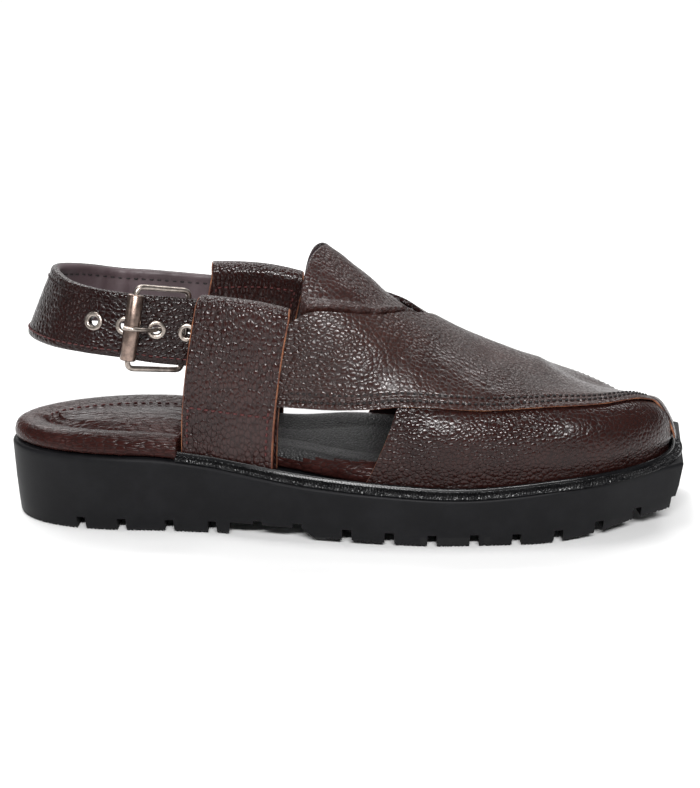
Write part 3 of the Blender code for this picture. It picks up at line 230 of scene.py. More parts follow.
# Curves through tables
def blend(start, leaving, end, arriving, share):
    """Smooth run from one value to another, with a slope at each."""
    square, cube = share * share, share ** 3
    return (
        start * (2 * cube - 3 * square + 1)
        + leaving * (cube - 2 * square + share)
        + end * (3 * square - 2 * cube)
        + arriving * (cube - square)
    )


def read_track(rows, column, place):
    places = [row[0] for row in rows]
    values = [row[column] for row in rows]
    if place <= places[0]:
        return values[0]
    if place >= places[-1]:
        return values[-1]
    index = max(i for i, known in enumerate(places) if known <= place)
    span = places[index + 1] - places[index]
    share = (place - places[index]) / span

    def slope(i):
        low, high = max(i - 1, 0), min(i + 1, len(rows) - 1)
        return (values[high] - values[low]) / (places[high] - places[low])

    return blend(values[index], slope(index) * span, values[index + 1], slope(index + 1) * span, share)


def curve_through(points, place):
    index = min(max(int(math.floor(place)), 0), len(points) - 2)
    share = place - index
    before, start = points[max(index - 1, 0)], points[index]
    end, after = points[index + 1], points[min(index + 2, len(points) - 1)]
    return blend(start, (end - before) * 0.5, end, (after - start) * 0.5, share)


def smooth_step(low, high, value):
    share = np.clip((value - low) / (high - low), 0.0, 1.0)
    return share * share * (3 - 2 * share)


# The sole's outline and levels
def sole_half_width(along, side):
    width = read_track(SOLE_SIDES, 1 if side == LATERAL else 2, along) * HALF_BALL
    left = 1 - min(along * LAST_LENGTH / HEEL_ROUND, 1.0)
    return width * math.sqrt(1 - left * left)


def sole_edge(along, side):
    reach = side * sole_half_width(along, side)
    skew = TOE_SKEW * smooth_step(0.85, 1.0, along) * reach / (2 * HALF_BALL) * SKEW_GAIN
    overhang = HEEL_OVERHANG * (1 - min(along * LAST_LENGTH / HEEL_ROUND, 1.0))
    return Vector((along * (LAST_LENGTH - TOE_SKEW / 2) + skew - overhang, reach, 0.0))


def sole_top(x):
    along = x / LAST_LENGTH
    fall = read_track(SOLE_TOP, 1, along) * (HEEL_HEIGHT - BALL_HEIGHT)
    return HEEL_HEIGHT - fall + read_track(SOLE_TOP, 2, along) * (TOE_HEIGHT - BALL_HEIGHT)


def sole_bottom(x):
    along = x / LAST_LENGTH
    waist = max(read_track(SOLE_BOTTOM, 1, along), 0.0)
    return waist * WAIST_LIFT + max(read_track(SOLE_BOTTOM, 2, along), 0.0) * TOE_SPRING


# The last
def cover_depth(along):
    band = BAND_SLOT_OUT + BAND_LEATHER
    return band + (WALL_FACE - band) * float(smooth_step(0.39, 0.51, along))


def welt_width(along):
    return WELT_REAR_WIDTH + (WELT_WIDTH - WELT_REAR_WIDTH) * float(smooth_step(0.26, 0.44, along))


def foot_half_width(along, side):
    outside = WELT_MARGIN + welt_width(along) + CLEARANCE + cover_depth(along)
    return sole_half_width(along, side) - outside


LAST_END = LAST[-1][0]
BELLY_HEIGHT = 0.45
TOE_SHOULDER = (0.42, 0.62)
TOE_EDGE_SHARE = 0.98
TIP_X = LAST_LENGTH - TOE_SKEW / 2 - WELT_MARGIN - WELT_WIDTH - CLEARANCE - WALL_FACE
TOE_START_X = TIP_X - TOE_LENGTH
TOE_START = TOE_START_X / LAST_LENGTH


def last_section(along):
    if along <= TOE_START:
        place = along / TOE_START * LAST_END
        values = [read_track(LAST, column, place) for column in range(1, 7)]
        ridge, edge, inset, belly, shoulder_in, shoulder_up = values
        edge_height = edge * EDGE_HEIGHT
        spine_x = along * LAST_LENGTH
        feet = [Vector((spine_x, side * foot_half_width(along, side), 0)) for side in (LATERAL, MEDIAL)]
    else:
        turn = min((along - TOE_START) / (1 - TOE_START), 1.0)
        ridge, edge, inset, belly = (read_track(TOE, c, turn) for c in range(1, 5))
        shoulder_in, shoulder_up = TOE_SHOULDER
        edge_height = TOE_EDGE_HEIGHT + edge * (TOE_EDGE_SHARE * EDGE_HEIGHT - TOE_EDGE_HEIGHT)
        spine_x = TOE_START_X + SPINE_LENGTH * turn
        angle = turn * math.pi / 2
        x = TOE_START_X + TOE_LENGTH * math.sin(angle)
        feet = [
            Vector((x, side * foot_half_width(TOE_START, side) * math.cos(angle), 0))
            for side in (LATERAL, MEDIAL)
        ]
    middle = SPINE_SHIFT * float(smooth_step(0.40, 0.60, along))
    spine = Vector((spine_x, middle, 0))
    ridge_point = Vector((spine_x, middle, ridge * INSTEP_HEIGHT))
    halves = []
    outer_edge = edge_height
    up = Vector((0, 0, 1))
    for side, foot in zip((LATERAL, MEDIAL), feet):
        edge_height = outer_edge
        if side == MEDIAL:
            edge_height -= read_track(INNER_FALL, 1, along) * EDGE_HEIGHT
        reach = (spine - foot).length
        inwards = (spine - foot) / reach
        bottom = sole_top(foot.x) + CLEARANCE
        run = (reach - inset * HALF_BALL) * shoulder_in
        rise = edge_height + (ridge * INSTEP_HEIGHT - edge_height) * shoulder_up
        halves.append([
            foot + up * bottom,
            foot - inwards * belly * HALF_BALL + up * (bottom + BELLY_HEIGHT * (edge_height - bottom)),
            foot + inwards * inset * HALF_BALL + up * edge_height,
            foot + inwards * (inset * HALF_BALL + run) + up * rise,
        ])
    return halves[0] + [ridge_point] + list(reversed(halves[1]))


def sole_extent():
    """Points along the sole's edge, enough to find how wide it is."""
    rear = HEEL_ROUND / LAST_LENGTH * (1 - math.cos(math.radians(11)))
    places = [rear] + [0.2 + 0.01 * i for i in range(81)]
    return [sole_edge(place, side) for place in places for side in (LATERAL, MEDIAL)]


# The solids' origin: the middle of the sole's box
SOLE_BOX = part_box("outsole")
ORIGIN = Vector((
    sole_edge(1.0, MEDIAL).x - SOLE_BOX[1][0],
    max(point.y for point in sole_extent()) - SOLE_BOX[1][1],
    0.0,
))
SHIFT = np.array(ORIGIN)

ALONG_LOW, ALONG_STEPS, LEVEL_STEPS = 0.2, 400, 160


def last_grid():
    """Points and outward directions of the last, on a close grid of places and levels."""
    rows = []
    for along in np.linspace(ALONG_LOW, 1.0, ALONG_STEPS + 1):
        section = last_section(float(along))
        rows.append([curve_through(section, 8.0 * step / LEVEL_STEPS) for step in range(LEVEL_STEPS + 1)])
    points = np.array(rows, dtype=float)
    normals = np.cross(np.gradient(points, axis=0), np.gradient(points, axis=1))
    normals[-1] = normals[-2]
    normals /= np.linalg.norm(normals, axis=2, keepdims=True)
    normals[-1] += normals[-1][::-1]
    normals[-1] /= np.linalg.norm(normals[-1], axis=1, keepdims=True)
    return points - SHIFT, normals


LAST_POINTS, LAST_NORMALS = last_grid()


def read_grid(grid, along, level):
    """Values between the grid's points, for arrays of places and levels."""
    rows = (np.clip(along, ALONG_LOW, 1.0) - ALONG_LOW) / (1 - ALONG_LOW) * ALONG_STEPS
    columns = (np.clip(level, -FOOT_LEVEL, FOOT_LEVEL) + FOOT_LEVEL) / (2 * FOOT_LEVEL) * LEVEL_STEPS
    row = np.minimum(rows.astype(int), ALONG_STEPS - 1)
    column = np.minimum(columns.astype(int), LEVEL_STEPS - 1)
    u, v = (rows - row)[..., None], (columns - column)[..., None]
    near = grid[row, column] * (1 - v) + grid[row, column + 1] * v
    far = grid[row + 1, column] * (1 - v) + grid[row + 1, column + 1] * v
    return near * (1 - u) + far * u


def surface(along, level, face=0.0):
    """Points a distance outside the last."""
    along, level, face = np.broadcast_arrays(*(np.asarray(value, float) for value in (along, level, face)))
    return read_grid(LAST_POINTS, along, level) + outwards_at(along, level) * face[..., None]


def outwards_at(along, level):
    normal = read_grid(LAST_NORMALS, along, level)
    return normal / np.linalg.norm(normal, axis=-1, keepdims=True)


def level_step(along, level, distance):
    """How far to move in level to move a real distance across the last."""
    reach = 0.02
    ahead = read_grid(LAST_POINTS, along, level + reach)
    behind = read_grid(LAST_POINTS, along, level - reach)
    return distance * 2 * reach / np.linalg.norm(ahead - behind, axis=-1)


def level_at_height(along, height, side):
    """The level at which the last stands this high, found by halving."""
    low, high = 0.2, FOOT_LEVEL
    for _ in range(24):
        middle = (low + high) / 2
        if float(surface(along, side * middle)[2]) > height:
            low = middle
        else:
            high = middle
    return (low + high) / 2


# Leather relief
def ripple(points, size, depth, seed):
    """Slow unevenness of a hide: soft swells of about this size."""
    flat = points.reshape(-1, 3)
    values = [noise.noise(Vector(point) / size + Vector((seed, seed * 2.0, 0.0))) for point in flat]
    return np.array(values).reshape(points.shape[:-1]) * depth


def creases(along, level, rows):
    """Soft troughs with a low ridge beside each. A row is a line between two places on the last."""
    relief = np.zeros_like(along)
    across = 0.024  # metres to a level
    bow, ridge, ridge_place = 0.08, 0.55, 1.9  # how far it bends, the ridge's height and its place
    x, y = along * LAST_LENGTH, level * across
    for start_along, start_level, end_along, end_level, width, depth in rows:
        start = np.array((start_along * LAST_LENGTH, start_level * across))
        run = np.array((end_along * LAST_LENGTH, end_level * across)) - start
        length = np.hypot(*run)
        run = run / length
        forward = (x - start[0]) * run[0] + (y - start[1]) * run[1]
        aside = -(x - start[0]) * run[1] + (y - start[1]) * run[0]
        share = np.clip(forward / length, 0.0, 1.0)
        beyond = forward - share * length
        fade = np.sin(math.pi * np.clip(share, 0.02, 0.98)) ** 0.6 * np.exp(-(beyond / width) ** 2)
        aside = aside + bow * length * np.sin(math.pi * share)
        relief -= depth * fade * np.exp(-(aside / width) ** 2)
        relief += ridge * depth * fade * np.exp(-((aside - ridge_place * width) / width) ** 2)
    return relief


# Mesh building
def finish_piece(mesh, name, finishes, sharp=40):
    for each in finishes:
        mesh.materials.append(each)
    mesh.shade_smooth()
    mesh.set_sharp_from_angle(angle=math.radians(sharp))
    made = bpy.data.objects.new(name, mesh)
    bpy.context.scene.collection.objects.link(made)
    return made


def weld(mesh, merge, slivers=True):
    """Join points closer than this distance, drop slivers and turn every face outwards."""
    work = bmesh.new()
    work.from_mesh(mesh)
    if merge:
        bmesh.ops.remove_doubles(work, verts=work.verts, dist=merge)
        if slivers:
            bmesh.ops.dissolve_degenerate(work, edges=work.edges, dist=merge)
    bmesh.ops.recalc_face_normals(work, faces=work.faces)
    work.to_mesh(mesh)
    work.free()
    return mesh


def mesh_from(name, points, faces, marks=None, merge=0.0):
    mesh = bpy.data.meshes.new(name)
    mesh.from_pydata([tuple(point) for point in points], [], faces)
    if marks is not None:
        mesh.polygons.foreach_set("material_index", marks)
    return weld(mesh, merge)


def quads(a, b, c, d):
    return np.stack([a, b, c, d], -1).reshape(-1, 4)


def ring_sides(count, around):
    """Point numbers of stacked closed rings, the same one step on, and the faces between the rings."""
    index = np.arange(count * around).reshape(count, around)
    ahead = np.roll(index, -1, axis=1)
    return index, ahead, quads(index[:-1], index[1:], ahead[1:], ahead[:-1]).tolist()


def across_ring(ring):
    """Faces that close a ring, from its near half to its far half."""
    near, far = np.split(ring, 2)
    far = far[::-1]
    return quads(near[:-1], near[1:], far[1:], far[:-1]).tolist()


def prism_faces(count):
    """Faces between two equal rings, and the rings themselves."""
    faces = [list(range(count)), list(range(2 * count - 1, count - 1, -1))]
    return faces + [[i, (i + 1) % count, count + (i + 1) % count, count + i] for i in range(count)]


def shell(name, outer, inner, finishes, zipped=False, round_edge=0.00035, raw_sides=False):
    """Closed leather from two grids of points: outside, raw edge and inside each have a finish.

    Raw sides show the cut edge's colour on the outermost columns as well.
    """
    rows, columns = outer.shape[:2]
    index = np.arange(rows * columns).reshape(rows, columns)
    top = quads(index[:-1, :-1], index[1:, :-1], index[1:, 1:], index[:-1, 1:])
    low = top[:, ::-1] + rows * columns
    borders = [index[0, :], index[:, 0], index[:, -1]]
    if not zipped:
        borders.append(index[-1, :])
    rim = np.concatenate([
        quads(border[:-1], border[1:], border[1:] + rows * columns, border[:-1] + rows * columns)
        for border in borders
    ])
    faces = np.concatenate([top, low, rim]).tolist()
    face_marks = np.zeros((rows - 1, columns - 1), dtype=int)
    if raw_sides:
        face_marks[:, (0, -1)] = 1
    marks = face_marks.reshape(-1).tolist() + [2] * len(low) + [1] * len(rim)
    points = np.concatenate([outer.reshape(-1, 3), inner.reshape(-1, 3)])
    mesh = mesh_from(name, points, faces, marks, merge=0.000001)
    made = finish_piece(mesh, name, finishes, 50)
    if round_edge:
        bevel = made.modifiers.new("edge", "BEVEL")
        bevel.width = round_edge
        bevel.segments = 2
        bevel.limit_method = "ANGLE"
        bevel.angle_limit = math.radians(55)
    return made


def loft(name, rings, finishes, closed_ends=True, marks=None, sharp=40):
    """Closed body through rings of equal count, each an array of points."""
    rings = np.asarray(rings)
    count = len(rings)
    index, ahead, faces = ring_sides(*rings.shape[:2])
    if closed_ends:
        faces += [index[0].tolist(), index[-1].tolist()]
    else:
        faces += quads(index[-1], index[0], ahead[0], ahead[-1]).tolist()
    mesh = mesh_from(name, rings.reshape(-1, 3), faces)
    made = finish_piece(mesh, name, finishes, sharp)
    if marks is not None:
        for polygon, mark in zip(made.data.polygons, np.tile(marks, count)):
            polygon.material_index = int(mark)
    return made


def resample(points, spacing):
    """Where even points fall along a line, counted in the line's own points."""
    steps = np.linalg.norm(np.diff(points, axis=0), axis=1)
    travelled = np.concatenate([[0.0], np.cumsum(steps)])
    count = max(int(round(travelled[-1] / spacing)), 1)
    wanted = np.linspace(0.0, travelled[-1], count + 1)
    return np.interp(wanted, travelled, np.arange(len(points)))


def at_places(values, place):
    low = np.minimum(place.astype(int), len(values) - 2)
    share = (place - low)[:, None]
    return values[low] * (1 - share) + values[low + 1] * share


def seam(name, points, normals, pitch, finish, length=0.72, radius=0.00028, lift=0.00012):
    """Row of stitches along a line: each is a short thread that dips into the leather at both ends."""
    ends = resample(points, pitch)
    middle = (ends[1:] + ends[:-1]) / 2
    half = (ends[1:] - ends[:-1]) / 2 * length
    reaches = (-1.0, -0.72, 0.0, 0.72, 1.0)
    swells = (0.45, 0.95, 1.05, 0.95, 0.45)
    drops = (-1.4, 0.1, 0.5, 0.1, -1.4)
    sides = 6
    centres = np.stack([at_places(points, middle + half * reach) for reach in reaches], 1)
    ups = at_places(normals, middle)
    ups /= np.linalg.norm(ups, axis=1, keepdims=True)
    run = centres[:, -1] - centres[:, 0]
    run /= np.linalg.norm(run, axis=1, keepdims=True)
    aside = np.cross(run, ups)
    rings = []
    for place, (swell, drop) in enumerate(zip(swells, drops)):
        centre = centres[:, place] + ups * (drop * radius + lift)
        ring = []
        for side in range(sides):
            turn = 2 * math.pi * side / sides
            ring.append(centre + (aside * math.cos(turn) + ups * math.sin(turn)) * radius * swell)
        rings.append(np.stack(ring, 1))
    body = np.stack(rings, 1)
    count, depth = body.shape[0], len(reaches)
    index = np.arange(count * depth * sides).reshape(count, depth, sides)
    ahead = np.roll(index, -1, axis=2)
    faces = quads(index[:, :-1], index[:, 1:], ahead[:, 1:], ahead[:, :-1]).tolist()
    faces += index[:, 0].tolist() + index[:, -1].tolist()
    return finish_piece(mesh_from(name, body.reshape(-1, 3), faces), name, [finish], 80)


def settle(piece, slot, *nodes):
    """The piece rides with the shoe and stands for its solids. The slot is not used."""
    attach(piece, "root")
    if nodes:
        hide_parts(*nodes)
    return piece


# Finishes
class Value:
    """A shader value that takes part in plain arithmetic."""

    def __init__(self, tree, socket):
        self.tree = tree
        self.socket = socket

    def combine(self, operation, first, second):
        made = self.tree.nodes.new("ShaderNodeMath")
        made.operation = operation
        for place, value in enumerate((first, second)):
            if isinstance(value, Value):
                self.tree.links.new(value.socket, made.inputs[place])
            else:
                made.inputs[place].default_value = value
        return Value(self.tree, made.outputs[0])

    def __add__(self, other):
        return self.combine("ADD", self, other)

    def __radd__(self, other):
        return self.combine("ADD", other, self)

    def __sub__(self, other):
        return self.combine("SUBTRACT", self, other)

    def __rsub__(self, other):
        return self.combine("SUBTRACT", other, self)

    def __mul__(self, other):
        return self.combine("MULTIPLY", self, other)

    def __rmul__(self, other):
        return self.combine("MULTIPLY", other, self)


class Finish:
    """A material in the making."""

    def __init__(self, name, **constants):
        self.material = bpy.data.materials.new(name)
        self.material.use_nodes = True
        self.tree = self.material.node_tree
        self.shader = self.tree.nodes["Principled BSDF"]
        for socket, value in constants.items():
            self.shader.inputs[socket.replace("_", " ")].default_value = value

    def node(self, kind, settings=None, values=None, output=0):
        """A node of this kind: its settings first, then the values of its sockets."""
        made = self.tree.nodes.new("ShaderNode" + kind)
        for key, setting in (settings or {}).items():
            if key == "stops":
                self.set_stops(made.color_ramp, setting)
            else:
                setattr(made, key, setting)
        for key, value in (values or {}).items():
            self.feed(made.inputs[key], value)
        return Value(self.tree, made.outputs[output])

    def set_stops(self, ramp, stops):
        while len(ramp.elements) < len(stops):
            ramp.elements.new(0.5)
        for element, (place, shade) in zip(ramp.elements, stops):
            element.position = place
            element.color = (shade, shade, shade, 1.0)

    def feed(self, socket, value):
        if isinstance(value, Value):
            self.tree.links.new(value.socket, socket)
        else:
            socket.default_value = value

    def place(self):
        return self.node("TexCoord", output=3)

    def stretched(self, scale):
        return self.node("Mapping", {"vector_type": "POINT"}, {"Vector": self.place(), "Scale": scale})

    def noise(self, scale, detail=3.0, where=None, roughness=0.55):
        values = {"Vector": where or self.place(), "Scale": scale, "Detail": detail, "Roughness": roughness}
        return self.node("TexNoise", {}, values)

    def cells(self, scale, feature="F1", where=None):
        settings = {"feature": feature}
        return self.node("TexVoronoi", settings, {"Vector": where or self.place(), "Scale": scale})

    def ramp(self, value, *stops):
        return self.node("ValToRGB", {"stops": stops}, {"Fac": value})

    def mix(self, factor, first, second):
        """Blend of two colours, each a value or three numbers."""
        first, second = (shade if isinstance(shade, Value) else (*shade, 1.0) for shade in (first, second))
        return self.node("Mix", {"data_type": "RGBA"}, {0: factor, 6: first, 7: second}, output=2)

    def bump(self, height, strength, distance, normal=None):
        values = {"Height": height, "Strength": strength, "Distance": distance}
        if normal is not None:
            values["Normal"] = normal
        return self.node("Bump", {}, values)

    def done(self, **links):
        for socket, value in links.items():
            self.feed(self.shader.inputs[socket.replace("_", " ")], value)
        return self.material


def pebbled_leather(
        name, deep, warm, pebble=0.0019, relief=0.00036, gloss=0.16, shine=0.34, worn=0.0,
        stretch=(1.0, 1.0, 1.0)):
    """Milled leather: rounded pebbles with painted shade in the creases between them, and a soft uneven shine.
    """
    made = Finish(name, Specular_IOR_Level=shine)
    where = made.stretched(stretch)
    warped = made.node(
        "VectorMath", {"operation": "MULTIPLY_ADD"},
        {0: made.node("TexNoise", {}, {"Vector": where, "Scale": 300.0, "Detail": 2.0}, output=1),
         1: (0.0014, 0.0014, 0.0014), 2: where},
    )
    edges = made.cells(1 / pebble, "DISTANCE_TO_EDGE", warped)
    crease = made.ramp(edges, (0.0, 0.0), (0.10, 0.55), (0.30, 1.0))
    dome = made.cells(1 / pebble, "F1", warped)
    swell = made.noise(110.0, 4.0)
    milled = made.ramp(made.noise(26.0, 2.0), (0.38, 0.30), (0.60, 1.0))
    height = (crease * 0.30 + dome * dome * -1.5) * milled + swell * 1.0
    hide = made.noise(38.0, 5.0)
    patch = made.ramp(hide, (0.3, 0.0), (0.7, 1.0))
    colour = made.mix(patch, deep, warm)
    # painted shade: the creases between the pebbles are darkened towards a third of the deep colour
    crease_shade = tuple(0.35 * channel for channel in deep)
    colour = made.mix(made.ramp(edges, (0.0, 1.0), (0.16, 0.0)) * 0.7, colour, crease_shade)
    if worn:
        rub = made.ramp(made.noise(70.0, 6.0, roughness=0.7), (0.62, 0.0), (0.78, 1.0))
        colour = made.mix(rub * worn, colour, tuple(2.0 * channel for channel in warm))
    rough = gloss + hide * 0.10 + (1 - crease) * 0.25
    return made.done(Base_Color=colour, Roughness=rough, Normal=made.bump(height, 1.0, relief))


def smooth_rubber(name, colour, roughness, relief, shine=0.24):
    made = Finish(name, Specular_IOR_Level=shine)
    dust = made.noise(55.0, 6.0, roughness=0.7)
    speck = made.noise(1700.0, 3.0)
    dusty = tuple(1.6 * channel + 0.0015 for channel in colour)
    shade = made.mix(made.ramp(dust, (0.45, 0.0), (0.75, 1.0)), colour, dusty)
    normal = made.bump(speck + dust * 1.4, 0.4, relief)
    return made.done(Base_Color=shade, Roughness=roughness + dust * 0.18, Normal=normal)


def knurled_rubber(name):
    made = Finish(name, Specular_IOR_Level=0.20)
    sparkle = made.cells(1100.0)
    dust = made.noise(160.0, 4.0)
    shade = made.mix(made.ramp(dust, (0.4, 0.0), (0.8, 1.0)), (0.004, 0.004, 0.0045), (0.014, 0.014, 0.0145))
    return made.done(Base_Color=shade, Roughness=0.10 + dust * 0.2, Normal=made.bump(sparkle, 0.8, 0.00030))


def thread(name, colour, light):
    made = Finish(name)
    strand = made.node("TexWave", {"bands_direction": "DIAGONAL"}, {"Vector": made.place(), "Scale": 1500.0})
    shade = made.mix(made.noise(900.0), colour, light)
    return made.done(Base_Color=shade, Roughness=0.55 + strand * 0.2, Normal=made.bump(strand, 0.6, 0.00008))


def raw_edge(name):
    """Cut edge of the hide: tan fibres with a rubbed red-brown stain."""
    made = Finish(name)
    fibre = made.noise(950.0, 5.0, roughness=0.7)
    stain = made.noise(95.0, 4.0)
    shade = made.mix(made.ramp(stain, (0.42, 0.0), (0.62, 1.0)), (0.120, 0.036, 0.018), (0.360, 0.140, 0.060))
    shade = made.mix(made.ramp(fibre, (0.4, 0.0), (0.7, 1.0)) * 0.5, shade, (0.045, 0.020, 0.014))
    return made.done(Base_Color=shade, Roughness=0.62 + fibre * 0.2, Normal=made.bump(fibre, 0.6, 0.00012))


def strap_lining(name):
    """Smooth lining, grey and faintly purple."""
    made = Finish(name)
    pores = made.cells(900.0)
    worn = made.noise(60.0, 5.0)
    shade = made.mix(made.ramp(worn, (0.3, 0.0), (0.7, 1.0)), (0.042, 0.026, 0.029), (0.085, 0.058, 0.064))
    normal = made.bump(pores + worn, 0.4, 0.0001)
    return made.done(Base_Color=shade, Roughness=0.40 + worn * 0.2, Normal=normal)


def aged_nickel(name, tint, roughness):
    """Antique plating: grey in the rubbed places and brown in the rest, with fine scratches."""
    made = Finish(name)
    age = made.noise(420.0, 6.0, roughness=0.65)
    scratches = made.noise(900.0, 2.0, made.stretched((0.15, 1.0, 4.0)))
    shade = made.mix(made.ramp(age, (0.35, 0.0), (0.66, 1.0)), tuple(0.42 * c for c in tint), tint)
    return made.done(
        Base_Color=shade, Roughness=roughness + age * 0.22, Metallic=made.ramp(age, (0.1, 0.85), (0.5, 1.0)),
        Normal=made.bump(scratches + age, 0.35, 0.00005),
    )


RUBBER = smooth_rubber("sole_rubber", (0.0040, 0.0040, 0.0048), 0.42, 0.00006, shine=0.14)
TREAD = smooth_rubber("tread_rubber", (0.0045, 0.0045, 0.0050), 0.62, 0.00016)
BEAD = smooth_rubber("bead_rubber", (0.003, 0.003, 0.0036), 0.12, 0.00003, shine=0.30)
KNURL = knurled_rubber("knurled_rubber")
VAMP = pebbled_leather("vamp_leather", (0.0190, 0.0070, 0.0058), (0.0380, 0.0160, 0.0132), shine=0.38)
# painted shade: the toe wall's leather is a darker copy of the vamp's, for the shade on the wall's low sides
SHADED_WALL_LEATHER = pebbled_leather(
    "shaded_toe_wall_leather", (0.0130, 0.0036, 0.0030), (0.0240, 0.0080, 0.0066), relief=0.00032, gloss=0.10,
    shine=0.28,
)
TONGUE = pebbled_leather("tongue_leather", (0.0210, 0.0078, 0.0068), (0.0420, 0.0175, 0.0155))
BAND = pebbled_leather(
    "band_leather", (0.0165, 0.0052, 0.0046), (0.0310, 0.0110, 0.0095), pebble=0.0021, relief=0.00052,
    gloss=0.12, shine=0.36, stretch=(1.25, 1.0, 0.75),
)
# painted shade: the strap's leather is a much darker copy of the vamp's, for the strap that stands in shade
SHADED_STRAP_LEATHER = pebbled_leather(
    "strap_leather", (0.0080, 0.0022, 0.0020), (0.0160, 0.0050, 0.0044), gloss=0.08, shine=0.28,
)
FOOTBED = pebbled_leather(
    "footbed_leather", (0.0190, 0.0052, 0.0044), (0.0390, 0.0135, 0.0115), pebble=0.0017, relief=0.00026,
    gloss=0.10, shine=0.13, worn=0.25, stretch=(0.40, 1.0, 1.0),
)
SOCK = pebbled_leather(
    "sock_leather", (0.0080, 0.0076, 0.0080), (0.0150, 0.0142, 0.0150), pebble=0.0011, relief=0.0003,
    gloss=0.34,
)
LINING = strap_lining("strap_lining")
RAW = raw_edge("raw_edge")
RED_THREAD = thread("dark_red_thread", (0.040, 0.006, 0.006), (0.090, 0.014, 0.013))
BROWN_THREAD = thread("dark_brown_thread", (0.009, 0.0025, 0.0022), (0.022, 0.006, 0.0055))
BLACK_THREAD = thread("black_thread", (0.003, 0.002, 0.002), (0.010, 0.006, 0.006))
NICKEL = aged_nickel("aged_nickel", (0.52, 0.45, 0.40), 0.20)
BRONZE = aged_nickel("bronzed_roller", (0.34, 0.25, 0.21), 0.22)


# Outsole
HEEL_GROOVES = (0.102, 0.161, 0.230, 0.292)
ARCH_GROOVES = (0.358, 0.414)
FORE_GROOVES = tuple(0.483 + index * LUG_PITCH / LAST_LENGTH for index in range(9))
ARCH_START, ARCH_END = 0.3185, 0.4520
ARCH_GROOVE_EXTRA = 0.0010
RIB_PITCH = 0.0016
RIB_HEIGHT = 0.0010
RIB_RUNS = ((0.030, ARCH_START - 0.003), (ARCH_END + 0.003, 0.975))
SOLE_REACH = HALF_BALL * 1.2
UNDER_GROUND = -0.003


def heel_stations(first, count):
    """Places round the heel, in even turns from the first one."""
    turns = [math.radians(first + (90 - first) * step / count) for step in range(count + 1)]
    return [HEEL_ROUND / LAST_LENGTH * (1 - math.cos(turn)) for turn in turns]


def inset_loop(loop, distances):
    """The loop moved inwards, each point by its own distance."""
    result = []
    for index, point in enumerate(loop):
        before = (point - loop[index - 1]).normalized()
        after = (loop[(index + 1) % len(loop)] - point).normalized()
        along = (before + after).normalized()
        inwards = Vector((-along.y, along.x, 0.0))
        result.append(point + inwards * distances[index] / max(along.dot(before), 0.6))
    return result


def prism(profile, low, high):
    """Points and faces of a body with a profile in X and Z."""
    points = [(x, y, z) for y in (low, high) for x, z in profile]
    return points, prism_faces(len(profile))


def cut(target, name, bodies):
    """Cut a group of bodies, none of which touch each other, out of a piece."""
    points, faces = [], []
    for body_points, body_faces in bodies:
        base = len(points)
        points += [tuple(np.array(point) - SHIFT) for point in body_points]
        faces += [[corner + base for corner in face] for face in body_faces]
    cutter = bpy.data.objects.new(name, mesh_from(name, points, faces))
    bpy.context.scene.collection.objects.link(cutter)
    modifier = target.modifiers.new(name, "BOOLEAN")
    modifier.operation = "DIFFERENCE"
    modifier.solver = "EXACT"
    modifier.object = cutter
    view = target.evaluated_get(bpy.context.evaluated_depsgraph_get())
    mesh = bpy.data.meshes.new_from_object(view)
    target.modifiers.remove(modifier)
    target.data = mesh
    bpy.data.objects.remove(cutter, do_unlink=True)


def groove(x, depth, low, high, width):
    ceiling = sole_bottom(x) + depth
    half = width / 2
    profile = [
        (x - half, ceiling), (x + half, ceiling), (x + half + GROOVE_FLARE, -0.002),
        (x - half - GROOVE_FLARE * 0.4, -0.002),
    ]
    return prism(profile, low, high)


def channel(side, first, last):
    steps = 25
    points, faces = [], []
    for step in range(steps):
        along = first + (last - first) * step / (steps - 1)
        x = along * LAST_LENGTH
        edge = side * (sole_half_width(along, side) - WALL_TAPER - LUG_LENGTH)
        ceiling = sole_bottom(x) + CHANNEL_DEPTH
        inner = edge - side * CHANNEL_WIDTH
        points += [(x, edge, UNDER_GROUND), (x, edge, ceiling), (x, inner, ceiling), (x, inner, UNDER_GROUND)]
    for step in range(steps - 1):
        base = 4 * step
        faces += [[base + i, base + (i + 1) % 4, base + 4 + (i + 1) % 4, base + 4 + i] for i in range(4)]
    last = 4 * (steps - 1)
    return points, faces + [[0, 1, 2, 3], [last + 3, last + 2, last + 1, last]]


def rib_comb(side, first, last):
    """Comb of small teeth under the side lugs, which leaves fine ribs at their feet."""
    count = int((last - first) * LAST_LENGTH / RIB_PITCH)
    top = []
    for step in range(count):
        x = first * LAST_LENGTH + step * RIB_PITCH
        ground = sole_bottom(x)
        tip = ground + RIB_HEIGHT * (0.75 + 0.25 * math.sin(step * 2.4))
        top += [(x, ground - 0.0004), (x + 0.3 * RIB_PITCH, tip), (x + 0.6 * RIB_PITCH, tip)]
    profile = top + [(top[-1][0] + 0.0005, UNDER_GROUND), (top[0][0], UNDER_GROUND)]
    inner, outer = side * 0.018, side * SOLE_REACH
    return prism(profile, min(inner, outer), max(inner, outer))


